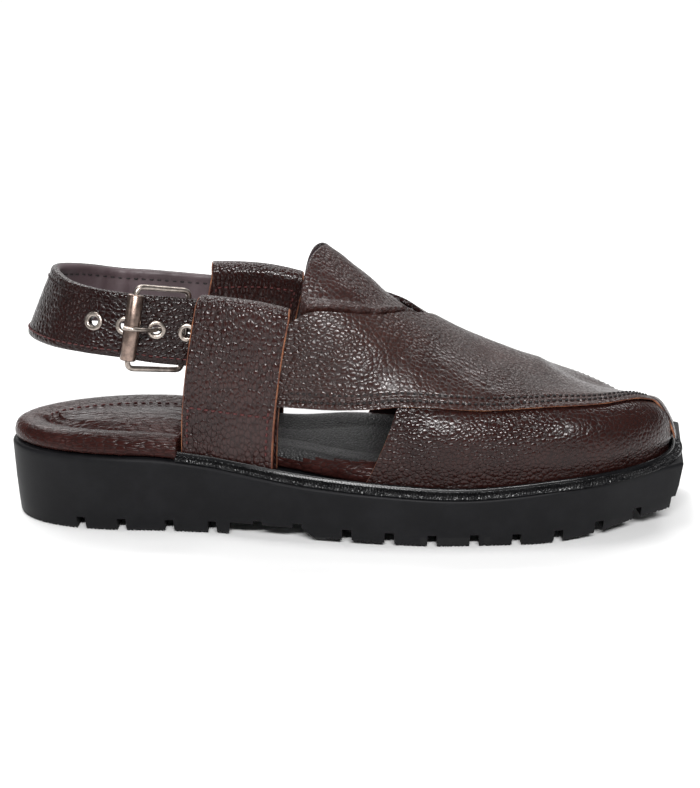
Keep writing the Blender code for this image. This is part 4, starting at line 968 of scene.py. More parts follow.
def make_outsole():
    stations = heel_stations(3, 26) + list(np.linspace(0.2, 0.985, 96)) + [0.993, 1.0]
    loop = [sole_edge(float(along), LATERAL) for along in stations]
    loop += [sole_edge(float(along), MEDIAL) for along in reversed(stations)]
    tapers = [HEEL_TAPER + (WALL_TAPER - HEEL_TAPER) * float(smooth_step(0, HEEL_ROUND, p.x)) for p in loop]
    section = (
        # down, taper, edge
        (0.000, 0.00, 0.0016), (0.006, 0.00, 0.0008), (0.022, 0.00, 0.0003), (0.050, 0.00, 0.0),
        (0.10, 0.04, 0.0), (0.22, 0.11, 0.0), (0.50, 0.30, 0.0), (0.78, 0.62, 0.0), (0.955, 0.94, 0.0),
        (0.985, 1.00, 0.00025), (1.00, 1.00, 0.0008),
    )
    rings = []
    for down, taper, edge in section:
        ring = []
        for point in inset_loop(loop, [taper * share + edge for share in tapers]):
            top, bottom = sole_top(point.x), sole_bottom(point.x)
            ring.append((point.x, point.y, top + (bottom - top) * down))
        rings.append(np.array(ring) - SHIFT)
    index, _, faces = ring_sides(len(rings), len(loop))
    faces += across_ring(index[0]) + across_ring(index[-1])
    mesh = mesh_from("sole", np.concatenate(rings), faces)
    sole = finish_piece(mesh, "sole", [RUBBER, TREAD], 38)
    low, high = ARCH_START * LAST_LENGTH, ARCH_END * LAST_LENGTH
    arch = [(low, ARCH_DEPTH), (high - ARCH_RAMP, ARCH_DEPTH), (high, -0.001), (low - 0.001, -0.001)]
    cut(sole, "arch", [prism(arch, -SOLE_REACH, SOLE_REACH)])
    ends = ((0.085, ARCH_START - 0.008), (ARCH_END + 0.008, 0.935))
    cut(sole, "channels", [channel(side, *end) for side in (LATERAL, MEDIAL) for end in ends])
    bodies = []
    for side in (LATERAL, MEDIAL):
        for along in HEEL_GROOVES + ARCH_GROOVES + FORE_GROOVES:
            depth = LUG_DEPTH + (ARCH_GROOVE_EXTRA if along in ARCH_GROOVES else 0.0)
            inner = side * (sole_half_width(along, side) - LUG_LENGTH - WALL_TAPER + CHANNEL_WIDTH * 0.1)
            outer = side * SOLE_REACH
            low, high = min(inner, outer), max(inner, outer)
            bodies.append(groove(along * LAST_LENGTH, depth, low, high, GROOVE_WIDTH))
    for along in HEEL_GROOVES[:-1] + FORE_GROOVES[:-1]:
        place = along + LUG_PITCH / LAST_LENGTH / 2
        inside = LUG_LENGTH + WALL_TAPER + CHANNEL_WIDTH * 0.5
        near = -(sole_half_width(place, LATERAL) - inside)
        far = sole_half_width(place, MEDIAL) - inside
        bodies.append(groove(place * LAST_LENGTH, CENTRE_DEPTH, near, far, GROOVE_WIDTH * 0.8))
    cut(sole, "grooves", bodies)
    cut(sole, "ribs", [rib_comb(side, *end) for side in (LATERAL, MEDIAL) for end in RIB_RUNS])
    for polygon in sole.data.polygons:
        polygon.material_index = 1 if polygon.normal.z < -0.5 or polygon.center.z < LUG_DEPTH * 0.5 else 0
    sole.data.shade_smooth()
    sole.data.set_sharp_from_angle(angle=math.radians(38))
    settle(sole, "black_rubber", "outsole")


# Welt
def foot_outwards(along, side):
    section = last_section(along)
    foot = section[0] if side == LATERAL else section[-1]
    outwards = Vector((foot.x - section[4].x, foot.y - section[4].y, 0)).normalized()
    return foot, outwards


def around_toe(stations):
    forward = [(along, LATERAL) for along in stations]
    return forward + [(along, MEDIAL) for along in reversed(stations[:-1])]


def make_welt():
    """A glossy bead against the leather and a knurled strip outside it."""
    stations = [float(along) for along in np.linspace(0.243, 1.0, 120)]
    base, out, width, bulges, tops = [], [], [], [], []
    for along, side in around_toe(stations):
        foot, outwards = foot_outwards(along, side)
        start = foot + outwards * (cover_depth(along) + WELT_GAP)
        level = level_at_height(along, sole_top(foot.x) + CLEARANCE + WELT_BEAD, side)
        here = Vector(surface(along, side * level)) + ORIGIN
        bulges.append(max((here - foot).dot(outwards), 0.0))
        base.append((start.x, start.y, 0.0))
        out.append(tuple(outwards))
        width.append(welt_width(along))
    base, out = np.array(base), np.array(out)
    place = resample(base, KNURL_PITCH / 4)
    base, out = at_places(base, place), at_places(out, place)
    width = at_places(np.array(width)[:, None], place)
    bulge = at_places(np.array(bulges)[:, None], place)
    phase = np.arange(len(base)) * math.pi / 2
    section = (
        # outwards, up, knurl
        (0.00, 0.00, 0.0), (0.00, 0.40, 0.0), (0.00, 0.78, 0.0), (0.05, 0.94, 0.0), (0.13, 1.00, 0.0),
        (0.22, 0.98, 0.0), (0.30, 0.84, 0.0), (0.34, 0.62, 0.0), (0.38, 0.55, 0.3), (0.44, 0.58, 1.0),
        (0.60, 0.52, 1.0), (0.76, 0.46, 1.0), (0.90, 0.38, 1.0), (0.97, 0.26, 0.4), (1.00, 0.00, 0.0),
    )
    tops = np.array([sole_top(float(x)) for x in base[:, 0]])[:, None]
    rings = []
    for outwards, up, ribbed in section:
        lean = bulge * min(up, 1.0) ** 0.8
        point = base + out * (lean + outwards * (width - lean))
        height = tops[:, 0] + CLEARANCE + up * WELT_BEAD
        point[:, 2] = height + ribbed * KNURL_HEIGHT * np.sin(phase)
        rings.append(point - SHIFT)
    rings = np.stack(rings, 1)
    marks = [0 if place < 7 else 1 for place in range(len(section))]
    marks[-1] = 0
    welt = loft("welt_strip", rings, [BEAD, KNURL], marks=marks, sharp=60)
    settle(welt, "welt_rubber", "welt")


# Insole
NOTCH = 0.2495
NOTCH_RUN = 0.0016
RIM_NARROWING = 0.0065
RIM_SHARE = 0.42
PAD_REAR = -0.066
PAD_INSIDE = 0.0165
NOTCH_DEPTH = 0.006
GROOVE_RING = 14
PUCKER = 0.00022
PAD_CROWN = 0.0003
HEEL_CROWN = 0.0013
HEEL_WRINKLE = 0.0008


def insole_pair(along, side):
    rim = INSOLE_RIM
    if along <= NOTCH:
        edge = sole_edge(along, side)
        edge.y -= side * INSOLE_EDGE
        start = 1 - min(along * LAST_LENGTH / HEEL_ROUND, 1.0)
        edge.x += INSOLE_EDGE * start
        width = max(abs(edge.y) - rim * math.sqrt(1 - start * start), 0.001)
        return edge, Vector((edge.x + (rim - INSOLE_EDGE) * start, side * width, 0))
    foot, outwards = foot_outwards(along, side)
    edge = foot - outwards * (BAND_SLOT_IN + BAND_LEATHER + CLEARANCE)
    run = rim - RIM_NARROWING + RIM_NARROWING * float(smooth_step(NOTCH, 0.42, along))
    return edge, edge - outwards * run * (1 - 0.35 * float(smooth_step(TOE_START, 1.0, along)))


def arch_share(point):
    along = point.x / LAST_LENGTH
    length = smooth_step(0.28, 0.42, along) * (1 - smooth_step(0.46, 0.64, along))
    return float(length * smooth_step(-0.005, 0.030, point.y))


def make_insole():
    toe = [TOE_START + (1 - TOE_START) * 0.9 * step / 16 for step in range(17)]
    stations = heel_stations(4, 24) + [0.205, 0.222, 0.236, NOTCH, NOTCH + NOTCH_RUN]
    stations += [float(along) for along in np.linspace(0.255, 0.755, 58)] + toe
    pairs = [insole_pair(along, LATERAL) for along in stations]
    pairs += [insole_pair(along, MEDIAL) for along in reversed(stations)]
    section = (
        # inwards, up
        (0.09, 0.02), (0.03, 0.09), (0.00, 0.22), (0.00, 0.40), (0.02, 0.58), (0.06, 0.76), (0.12, 0.89),
        (0.20, 0.975), (0.30, 1.01), (0.42, 1.00), (0.54, 0.94), (0.65, 0.85), (0.73, 0.75), (0.785, 0.655),
        (0.815, 0.645), (0.86, 0.72), (0.92, 0.80), (1.00, 0.86),
    )
    rings = []
    for inwards, up in section:
        ring = []
        for edge, pad in pairs:
            point = edge.lerp(pad, inwards)
            arch = ARCH_SUPPORT * arch_share(point) * min(up * 2, 1.0)
            front = float(smooth_step(0.068, 0.090, point.x))
            if inwards > RIM_SHARE:
                # the front's flat height carries on round the toe and along the inner side
                up = up + (1.0 - 0.14 * (inwards - RIM_SHARE) / (1 - RIM_SHARE) - up) * front
            wave = math.sin(point.x * 900 + point.y * 500)
            pucker = PUCKER * wave * math.exp(-((inwards - 0.72) / 0.16) ** 2)
            height = sole_top(point.x) + CLEARANCE + up * INSOLE_THICKNESS + arch + pucker
            ring.append((point.x, point.y, height))
        rings.append(np.array(ring) - SHIFT)
    count = len(pairs)
    half = count // 2
    index, _, faces = ring_sides(len(rings), count)
    faces += across_ring(index[0])
    points = [np.concatenate(rings)]
    near, far = rings[-1][:half], rings[-1][half:][::-1]
    columns = 30
    pad = []
    for column in range(columns + 1):
        share = column / columns
        row = near * (1 - share) + far * share
        crown = math.sin(math.pi * share) ** 0.5
        lengthwise = np.array([
            noise.noise(Vector((x * 14, y * 130, 0.4))) + 0.5 * noise.noise(Vector((x * 30, y * 260, 2.0)))
            for x, y in row[:, :2]
        ])
        row = row.copy()
        heel = smooth_step(-0.058, -0.082, row[:, 0])
        row[:, 2] += crown * (PAD_CROWN + heel * (HEEL_CROWN + HEEL_WRINKLE * lengthwise))
        pad.append(row)
    base = len(points[0])
    pad_index = base + np.arange(half * (columns + 1)).reshape(columns + 1, half)
    faces += quads(pad_index[:-1, :-1], pad_index[1:, :-1], pad_index[1:, 1:], pad_index[:-1, 1:]).tolist()
    for side, first, last in ((0, 0, -1), (-1, half - 1, half)):
        joint = [index[-1][first], *pad_index[1:-1, side], index[-1][last]]
        faces.append([int(point) for point in joint])
    points.append(np.concatenate(pad))
    mesh = mesh_from("footbed", np.concatenate(points), faces, merge=0.000002)
    footbed = finish_piece(mesh, "footbed", [FOOTBED, SOCK, RAW], 60)
    for polygon in footbed.data.polygons:
        middle = polygon.center
        level = sole_top(middle.x + ORIGIN.x) + INSOLE_THICKNESS * 0.6
        place = (middle.x + ORIGIN.x) / LAST_LENGTH
        inside = sole_half_width(min(max(place, 0.2), 1.0), MEDIAL if middle.y > 0 else LATERAL)
        if middle.x > PAD_REAR and middle.z > level and abs(middle.y) < inside - PAD_INSIDE:
            polygon.material_index = 1
        if NOTCH < place < NOTCH + NOTCH_RUN and abs(middle.y) > inside - NOTCH_DEPTH:
            polygon.material_index = 2
    settle(footbed, "insole_leather", "insole")
    middle = (rings[GROOVE_RING - 1] + rings[GROOVE_RING]) / 2
    up = np.tile(np.array((0.0, 0.0, 1.0)), (count, 1))
    stop = int(half * 0.86)
    line = np.concatenate([middle[count - stop:], middle[:stop]])
    line = line[line[:, 0] < -0.060]
    settle(seam("footbed_thread", line, up[:len(line)], 0.0036, RED_THREAD, 0.62, 0.00034), "insole_leather")


# Upper
def lower_edge(along):
    drop = smooth_step(TIP_STRIP_START - 0.001, TIP_STRIP_FULL + 0.001, along)
    return EDGE_LEVEL + (TIP_STRIP_LEVEL - EDGE_LEVEL) * drop


def near_upper(along):
    if along >= LAP_END:
        return float(lower_edge(along))
    return read_track(NEAR_UPPER_EDGE, 1, along)


def far_upper(along):
    if along >= CROSSING[0]:
        return near_upper(along)
    return read_track(FAR_UPPER_EDGE, 1, along)


VAMP_CREASES = (
    # start along, start level, end along, end level, width, depth
    (0.420, -1.85, 0.470, -1.15, 0.0032, 0.00050),
    (0.445, -1.95, 0.500, -1.30, 0.0026, 0.00035),
    (0.400, -1.70, 0.415, -1.30, 0.0022, 0.00040),
    (0.520, -1.70, 0.585, -0.60, 0.0040, 0.00040),
    (0.600, -1.20, 0.640, 0.10, 0.0045, 0.00035),
    (0.660, -1.30, 0.700, 0.30, 0.0050, 0.00030),
    (0.720, -1.20, 0.745, 0.60, 0.0050, 0.00022),
)
WALL_CREASES = (
    # start along, start level, end along, end level, width, depth
    (0.560, -2.3, 0.570, -3.3, 0.0024, 0.00030),
    (0.590, -2.3, 0.620, -3.0, 0.0030, 0.00025),
    (0.660, -2.4, 0.700, -3.1, 0.0040, 0.00020),
    (0.560, 2.3, 0.575, 3.3, 0.0026, 0.00030),
    (0.640, 2.4, 0.690, 3.1, 0.0040, 0.00020),
)
TONGUE_CREASES = (
    # start along, start level, end along, end level, width, depth
    (0.430, -1.00, 0.500, -0.85, 0.0030, 0.00070),
    (0.445, -0.75, 0.520, -0.70, 0.0026, 0.00045),
    (0.440, -1.35, 0.500, -1.15, 0.0028, 0.00050),
    (0.470, -0.35, 0.540, -0.45, 0.0035, 0.00035),
)


def vamp_relief(along, level):
    return creases(along, level, VAMP_CREASES) + ripple(surface(along, level), *HIDE_SWELL, 3.0)


def far_relief(along, level):
    return 0.6 * ripple(surface(along, level), *HIDE_SWELL, 7.0)


def edge_seams(label, line, side, face, relief, radius):
    """Two rows of black stitches along a panel's lower edge, lying on the hide."""
    edge = side * lower_edge(line)
    for number, distance in enumerate(SEAM_PLACES, start=1):
        level = edge - side * level_step(line, edge, distance)
        points = surface(line, level, face + relief(line, level))
        facing = outwards_at(line, level)
        name = f"{label}_seam_{number}"
        settle(seam(name, points, facing, SEAM_PITCH, BLACK_THREAD, 0.62, radius), "upper_leather")


def make_near_panel():
    rows = np.concatenate([np.linspace(PANEL_REAR, 0.92, 190), np.linspace(0.922, 1.0, 56)])
    columns = 84
    low = -lower_edge(rows)
    high = np.array([near_upper(float(along)) for along in rows])
    share = np.linspace(0.0, 1.0, columns + 1)
    level = low[:, None] + (high - low)[:, None] * share
    along = np.broadcast_to(rows[:, None], level.shape)
    relief = vamp_relief(along, level)
    seam_dip = np.zeros_like(relief)
    from_low = (level - low[:, None]) / level_step(along, level, 1.0)
    for row in SEAM_PLACES:
        seam_dip -= SEAM_DIP * np.exp(-((from_low - row) / 0.0008) ** 2)
    fade = smooth_step(0.0, 0.0015, from_low)
    outer = surface(along, level, NEAR_FACE + relief * fade + seam_dip)
    past_crossing = smooth_step(CROSSING[0], CROSSING[0] + 0.01, along)
    past_window = smooth_step(WINDOW_FRONT - 0.012, WINDOW_FRONT, along)
    lap = np.maximum(
        smooth_step(0.30, 0.22, (high[:, None] - level)) * past_crossing,
        smooth_step(0.26, 0.18, level - low[:, None]) * past_window,
    )
    inner = surface(along, level, -PANEL_BACK + (NEAR_FACE - LAP_GAP) * lap)
    panel = shell("near_panel", outer, inner, [VAMP, RAW, LINING], zipped=True)
    settle(panel, "upper_leather", "upper")
    line = np.linspace(PANEL_REAR + SEAM_START, SEAM_TOE_END, 220)
    edge_seams("vamp", line, LATERAL, NEAR_FACE - 0.00020, vamp_relief, 0.00042)
    line = np.linspace(LAP_END + 0.004, SEAM_TOE_END, 120)
    edge_seams("inner", line, MEDIAL, NEAR_FACE - 0.00020, vamp_relief, 0.00030)


def make_far_panel():
    rows = np.linspace(PANEL_REAR, LAP_END + 0.012, 120)
    low = np.array([far_upper(float(along)) for along in rows])
    tuck = 0.16 * smooth_step(CROSSING[0], CROSSING[0] + 0.012, rows)
    low = low - tuck
    high = lower_edge(rows)
    share = np.linspace(0.0, 1.0, 49)
    level = low[:, None] + (high - low)[:, None] * share
    along = np.broadcast_to(rows[:, None], level.shape)
    edge_fade = smooth_step(0.0, 0.1, share)[None, :] * smooth_step(0.0, 0.1, 1 - share)[None, :]
    outer = surface(along, level, FAR_FACE + far_relief(along, level) * edge_fade)
    past_window = smooth_step(WINDOW_FRONT - 0.012, WINDOW_FRONT, along)
    lap = smooth_step(0.26, 0.18, high[:, None] - level) * past_window
    inner = surface(along, level, -PANEL_BACK + FAR_FACE * lap * 0.8)
    # painted shade: the far panel's cut edge takes the dark strap leather instead of the tan raw edge
    settle(shell("far_panel", outer, inner, [VAMP, SHADED_STRAP_LEATHER, LINING]), "upper_leather")
    line = np.linspace(PANEL_REAR + SEAM_START, LAP_END - 0.012, 150)
    edge_seams("far", line, MEDIAL, FAR_FACE - 0.00016, far_relief, 0.00030)


def make_toe_wall():
    base = np.concatenate([np.linspace(WINDOW_FRONT, 0.78, 60), np.linspace(0.783, 1.0, 100)])
    down = np.linspace(0.0, 1.0, 41)
    tuck = 0.14
    halves = []
    for side in (LATERAL, MEDIAL):
        edge = lower_edge(base) - tuck
        level = edge[:, None] + (FOOT_LEVEL - edge)[:, None] * down
        fade = np.clip(1 - (base - WINDOW_FRONT) / WINDOW_FADE, 0.0, 1.0)[:, None]
        along = base[:, None] - WINDOW_SLANT * fade * np.maximum((level - EDGE_LEVEL) / 2, 0.0)
        halves.append((along, side * level))
    along = np.concatenate([halves[0][0], halves[1][0][::-1][1:]])
    level = np.concatenate([halves[0][1], halves[1][1][::-1][1:]])
    relief = creases(along, level, WALL_CREASES) + ripple(surface(along, level), 0.012, 0.00020, 11.0)
    down = np.abs(level)
    crown = np.exp(-((down - 2.5) / 0.48) ** 2) - 0.30 * np.exp(-((down - 3.5) / 0.30) ** 2)
    relief += WALL_CROWN * crown * (0.35 + 0.65 * smooth_step(WINDOW_FRONT - 0.03, 0.66, along))
    relief = relief * smooth_step(FOOT_LEVEL, FOOT_LEVEL - 0.5, down) * smooth_step(1.9, 2.1, down)
    outer = surface(along, level, WALL_FACE + relief)
    inner = surface(along, level, -LINING_DEPTH)
    # painted shade: the outside takes the darker toe wall leather
    settle(shell("toe_wall", outer, inner, [SHADED_WALL_LEATHER, RAW, LINING]), "upper_leather")


def make_tongue():
    widest = TONGUE_EDGE[-1][0]
    columns = np.linspace(-widest, widest, 97)
    start = np.array([read_track(TONGUE_EDGE, 1, abs(float(level))) for level in columns])
    share = np.linspace(0.0, 1.0, 90)[:, None]
    along = start[None, :] + (TONGUE_FRONT - start)[None, :] * share
    level = np.broadcast_to(columns[None, :], along.shape)
    base = surface(along, level)
    relief = creases(along, level, TONGUE_CREASES) + ripple(base, 0.009, 0.00030, 17.0)
    lap = np.interp(along, [row[0] for row in NEAR_UPPER_EDGE], [row[1] for row in NEAR_UPPER_EDGE])
    above = (level - lap) / level_step(along, level, 1.0)
    # the crumpled roll that swells over the panel's edge
    roll = np.exp(-((above - ROLL_PLACE) / ROLL_WIDTH) ** 2) * smooth_step(0.0, 0.0012, above)
    roll *= smooth_step(0.60, 0.56, along)
    relief += roll * (ROLL_HEIGHT + ripple(base, *ROLL_CRUMPLE, 29.0))
    outer = surface(along, level, TONGUE_FACE + relief * smooth_step(0.0, 0.04, share))
    inner = surface(along, level, TONGUE_BACK)
    # painted shade: the tongue's cut edge takes the dark strap leather instead of the tan raw edge
    leaf = shell("tongue_leaf", outer, inner, [TONGUE, SHADED_STRAP_LEATHER, LINING], round_edge=0.0005)
    settle(leaf, "tongue_leather", "tongue")


# Bands
BAND_TOPS = {LATERAL: (1.14, 1.225), MEDIAL: (1.03, 1.09)}
INNER_BAND_FLARE = 0.0026
BOX_TOP, BOX_LOW = 2.04, 3.35
INNER_TOP, INNER_LOW = 1.16, 2.4
BAND_SEAM_LIFT = 0.00004
SKIVE_DEPTH, SKIVE_RUN = 0.00045, 0.012


def band_swell(side, along, level):
    return ripple(surface(along, side * level), 0.010, 0.00030, 23.0 + side)


def band_place(side, level, across, trim=0.0):
    """Where along the last a place across the band falls, at a level."""
    upright = (BAND_REAR + BAND_WIDTH * across) / LAST_LENGTH
    foot = surface(upright, side * FOOT_LEVEL)[..., 2]
    top = surface(upright, side * 1.0)[..., 2]
    rise = (surface(upright, side * level)[..., 2] - foot) / (top - foot)
    flare = INNER_BAND_FLARE * across * np.clip(rise, 0, 1) if side == MEDIAL else 0.0
    return upright + (BAND_LEAN * np.clip(rise, 0, None) ** 1.8 + trim * (1 - across) + flare) / LAST_LENGTH


def make_band(name, side, trim, node):
    """One leaf outside, a round fold at the top and one leaf inside, with the box stitch at the foot."""
    across = np.concatenate([[0.0, 0.014], np.linspace(0.03, 0.97, 39), [0.986, 1.0]])
    skive = SKIVE_DEPTH * (np.exp(-(across / SKIVE_RUN) ** 2) + np.exp(-((1 - across) / SKIVE_RUN) ** 2))
    rear_top, front_top = BAND_TOPS[side]
    top_level = rear_top + (front_top - rear_top) * across
    outside, inside = BAND_SLOT_OUT + BAND_LEATHER, -BAND_SLOT_IN - BAND_LEATHER
    climbs, folds = 56, 12
    outer, inner = [], []
    for climb in range(climbs + 1):
        level = FOOT_LEVEL + (top_level - FOOT_LEVEL) * climb / climbs
        along = band_place(side, level, across)
        relief = band_swell(side, along, level)
        relief = relief * smooth_step(0.0, 0.08, across) * smooth_step(1.0, 0.92, across) - skive
        outer.append(surface(along, side * level, outside + relief))
        inner.append(surface(along, side * level, BAND_SLOT_OUT))
    for fold in range(1, folds + 1):
        turn = math.pi * fold / (folds + 1)
        along = band_place(side, top_level, across, trim * fold / (folds + 1))
        normal = outwards_at(along, side * top_level)
        upwards = np.array((0.0, 0.0, 1.0)) - normal * normal[:, 2:]
        upwards /= np.linalg.norm(upwards, axis=1, keepdims=True)
        direction = normal * math.cos(turn) + upwards * math.sin(turn)
        centre = surface(along, side * top_level, (outside + inside) / 2)
        outer.append(centre + direction * ((outside - inside) / 2 - skive)[:, None])
        inner.append(centre + direction * (BAND_SLOT_OUT + BAND_SLOT_IN) / 2)
    for climb in range(climbs, -1, -1):
        level = FOOT_LEVEL + (top_level - FOOT_LEVEL) * climb / climbs
        along = band_place(side, level, across, trim)
        outer.append(surface(along, side * level, inside))
        inner.append(surface(along, side * level, -BAND_SLOT_IN))
    band = shell(name, np.array(outer), np.array(inner), [BAND, RAW, BAND], raw_sides=True)
    settle(band, "band_leather", node)

    count = 60

    def stitched(label, levels, shares, face):
        level, share = np.linspace(*levels, count), np.linspace(*shares, count)
        along = band_place(side, level, share)
        swell = band_swell(side, along, level) if face > 0 else 0.0
        points = surface(along, side * level, face + swell)
        normals = outwards_at(along, side * level) * (1 if face > 0 else -1)
        row = seam(f"{name}_{label}", points, normals, 0.0030, RED_THREAD, 0.62, 0.00042, lift=0.00010)
        settle(row, "band_leather")

    front, back = outside + BAND_SEAM_LIFT, inside - BAND_SEAM_LIFT
    stitched("row", (BOX_TOP, BOX_TOP + 0.10), (0.07, 0.93), front)
    stitched("rear", (BOX_TOP, BOX_LOW), (0.07, 0.07), front)
    stitched("front", (BOX_TOP, BOX_LOW), (0.93, 0.93), front)
    stitched("inner_row", (INNER_TOP, INNER_TOP), (0.08, 0.92), back)
    stitched("inner_rear", (INNER_TOP, INNER_LOW), (0.08, 0.08), back)
    stitched("inner_front", (INNER_TOP, INNER_LOW), (0.92, 0.92), back)


# Heel strap
def strap_rows():
    """Middle, half width, lean and padding along the strap, with both ends tucked into the bands."""
    rows = []

    def tucked(depth, side):
        along = 0.29 + depth / LAST_LENGTH
        level = level_at_height(along, STRAP_HEIGHT, side)
        return Vector(surface(along, side * level, STRAP_OFFSET)) + ORIGIN

    for side, order in ((LATERAL, (STRAP_TUCK, STRAP_TUCK / 2)), (MEDIAL, (STRAP_TUCK / 2, STRAP_TUCK))):
        if side == MEDIAL:
            ends = {LATERAL: tucked(0, LATERAL), MEDIAL: tucked(0, MEDIAL)}
            for back, aside, rise, widen, lean, padded in STRAP_RUN:
                end = ends[LATERAL if aside < 0 else MEDIAL]
                point = Vector((back * LAST_LENGTH, aside * abs(end.y), end.z + rise * STRAP_WIDTH * 0.5))
                rows.append((point, STRAP_WIDTH * (0.5 + widen), lean * STRAP_WIDTH, padded))
        for depth in order:
            rise = 0.0 if side == LATERAL else MEDIAL_RISE
            half = STRAP_WIDTH / 2 - depth * STRAP_NARROWING - rise
            lean = 0.03 if side == LATERAL else 0.09
            rows.append((tucked(depth, side) + Vector((0, 0, rise)), half, lean * STRAP_WIDTH, 0.0))
    return rows


STRAP_ROWS = strap_rows()


def strap_station(place):
    """Middle, directions, half width and thickness of the strap at a place."""
    def value(column, at):
        return curve_through([row[column] for row in STRAP_ROWS], at)

    top = len(STRAP_ROWS) - 1
    forward = (value(0, min(place + 0.05, top)) - value(0, max(place - 0.05, 0))).normalized()
    middle, half, lean = value(0, place), value(1, place), value(2, place)
    flat = Vector((forward.x, forward.y, 0)).normalized()
    away = Vector((-flat.y, flat.x, 0))
    if away.dot(Vector((middle.x - 0.12, middle.y, 0))) < 0:
        away = -away
    up = (Vector((0, 0, 2 * half)) - away * lean).normalized()
    up = (up - forward * up.dot(forward)).normalized()
    out = up.cross(forward).normalized()
    if out.dot(away) < 0:
        out = -out
    padded = min(max(value(3, place), 0.0), 1.0)
    return middle - ORIGIN, forward, up, out, half, STRAP_LEATHER + (STRAP_PADDED - STRAP_LEATHER) * padded


def eyelet_places():
    """Places of the four eyelets, by real distance along the strap."""
    places = []
    place, travelled = 1.0, 0.0
    before = strap_station(place)[0]
    wanted = FIRST_EYELET
    while len(places) < 4:
        place += 0.01
        here = strap_station(place)[0]
        travelled += (here - before).length
        before = here
        if travelled >= wanted:
            places.append(place)
            wanted += EYELET_PITCH
    return places


EYELET_PLACES = eyelet_places()


def make_strap():
    """Padded strap: leather outside, lining inside, a rolled rim along the top."""
    section = (
        # up, bulge outside, bulge inside
        (-1.00, 0.10, 0.10), (-0.97, 0.34, 0.34), (-0.90, 0.46, 0.46), (-0.72, 0.49, 0.50),
        (-0.40, 0.50, 0.52), (0.00, 0.50, 0.53), (0.40, 0.49, 0.52), (0.60, 0.47, 0.49), (0.70, 0.44, 0.42),
        (0.76, 0.46, 0.47), (0.86, 0.52, 0.58), (0.94, 0.44, 0.48), (0.985, 0.26, 0.28), (1.00, 0.06, 0.06),
    )
    top = len(STRAP_ROWS) - 1
    count = 230
    rings, high_line, low_line, lining_line, outs = [], [], [], [], []
    for step in range(count + 1):
        place = top * step / count
        middle, forward, up, out, half, thickness = strap_station(place)
        wave = 0.00028 * noise.noise(Vector(middle) / 0.009)
        crumple = max(0.0, math.sin(place * 9.0)) * 0.0005 * max(0.0, 1 - abs(place - 12.5) / 3.0)
        face = [middle + up * half * reach + out * (thickness * bulge + wave) for reach, bulge, _ in section]
        back = [
            middle + up * half * reach - out * (thickness * bulge - wave + crumple)
            for reach, _, bulge in reversed(section)
        ]
        rings.append(face + back)
        low_line.append(middle - up * half * 0.80 + out * (thickness * 0.5 + 0.00003))
        high_line.append(middle + up * half * 0.70 + out * (thickness * 0.45 + 0.00002))
        lining_line.append(middle + up * half * 0.70 - out * (thickness * 0.43 + 0.00002))
        outs.append(out)
    marks = [0] * len(section) + [1] * (len(section) - 1) + [0]
    # painted shade: the outside takes the darker strap leather
    strap = loft("strap", np.array(rings), [SHADED_STRAP_LEATHER, LINING], marks=marks, sharp=55)
    holes = []
    for place in EYELET_PLACES:
        middle, forward, up, out, _, _ = strap_station(place)
        sides = 20
        points = []
        for reach in (-0.004, 0.004):
            for side in range(sides):
                turn = 2 * math.pi * side / sides
                spoke = (up * math.cos(turn) + forward * math.sin(turn)) * (EYELET_BARREL + CLEARANCE)
                points.append(tuple(middle + ORIGIN + out * reach + spoke))
        holes.append((points, prism_faces(sides)))
    cut(strap, "holes", holes)
    settle(strap, "strap_leather", "heel_strap")
    outs = np.array(outs)
    rear, free = slice(int(count * 0.30), None), slice(int(count * 0.06), int(count * 0.95))
    for name, line, facing, run, pitch, finish, length, radius in (
        ("strap_low_seam", low_line, outs, free, 0.0028, RED_THREAD, 0.66, 0.00028),
        ("strap_rim_seam", high_line, outs, rear, 0.0028, BROWN_THREAD, 0.66, 0.00026),
        ("strap_lining_seam", lining_line, -outs, rear, 0.0034, BLACK_THREAD, 0.60, 0.00034),
    ):
        row = seam(name, np.array(line)[run], facing[run], pitch, finish, length, radius)
        settle(row, "strap_leather")


# Metal
def turned(name, profile, segments, finishes, middle, axis, marks=None):
    """Ring turned round an axis from a closed profile of radius and height."""
    turn = axis.to_track_quat("Z", "Y").to_matrix()
    rings = []
    for step in range(segments):
        angle = 2 * math.pi * step / segments
        rings.append([
            middle + turn @ Vector((radius * math.cos(angle), radius * math.sin(angle), height))
            for radius, height in profile
        ])
    return loft(name, np.array(rings), finishes, closed_ends=False, marks=marks, sharp=50)


def rod(name, path, radius, finish, closed=False):
    """Round wire along a path of even points."""
    data = bpy.data.curves.new(name, "CURVE")
    data.dimensions = "3D"
    data.bevel_depth = radius
    data.bevel_resolution = 4
    data.use_fill_caps = not closed
    line = data.splines.new("POLY")
    line.points.add(len(path) - 1)
    for knot, point in zip(line.points, path):
        knot.co = (*point, 1.0)
    line.use_cyclic_u = closed
    guide = bpy.data.objects.new(name + "_guide", data)
    bpy.context.scene.collection.objects.link(guide)
    bpy.context.view_layer.update()
    mesh = bpy.data.meshes.new_from_object(guide.evaluated_get(bpy.context.evaluated_depsgraph_get()))
    bpy.data.objects.remove(guide, do_unlink=True)
    weld(mesh, 0.00001, slivers=False)
    mesh.materials.clear()
    return finish_piece(mesh, name, [finish], 60)


def rounded_loop(corners, radius, steps=8):
    """Closed path through corners, each rounded from this distance before it to this distance after."""
    path = []
    for index, corner in enumerate(corners):
        before = (corners[index - 1] - corner).normalized()
        after = (corners[(index + 1) % len(corners)] - corner).normalized()
        start, end = corner + before * radius, corner + after * radius
        for step in range(steps + 1):
            share = step / steps
            path.append(start.lerp(corner, share).lerp(corner.lerp(end, share), share))
    return path


ROLLER_SHIFT = -0.22
BAR_SHIFT = 0.06
BUCKLE_CORNER = 0.0032
ROLLER_OVERHANG = 0.0012
ROLLER_ROUND = 0.0006


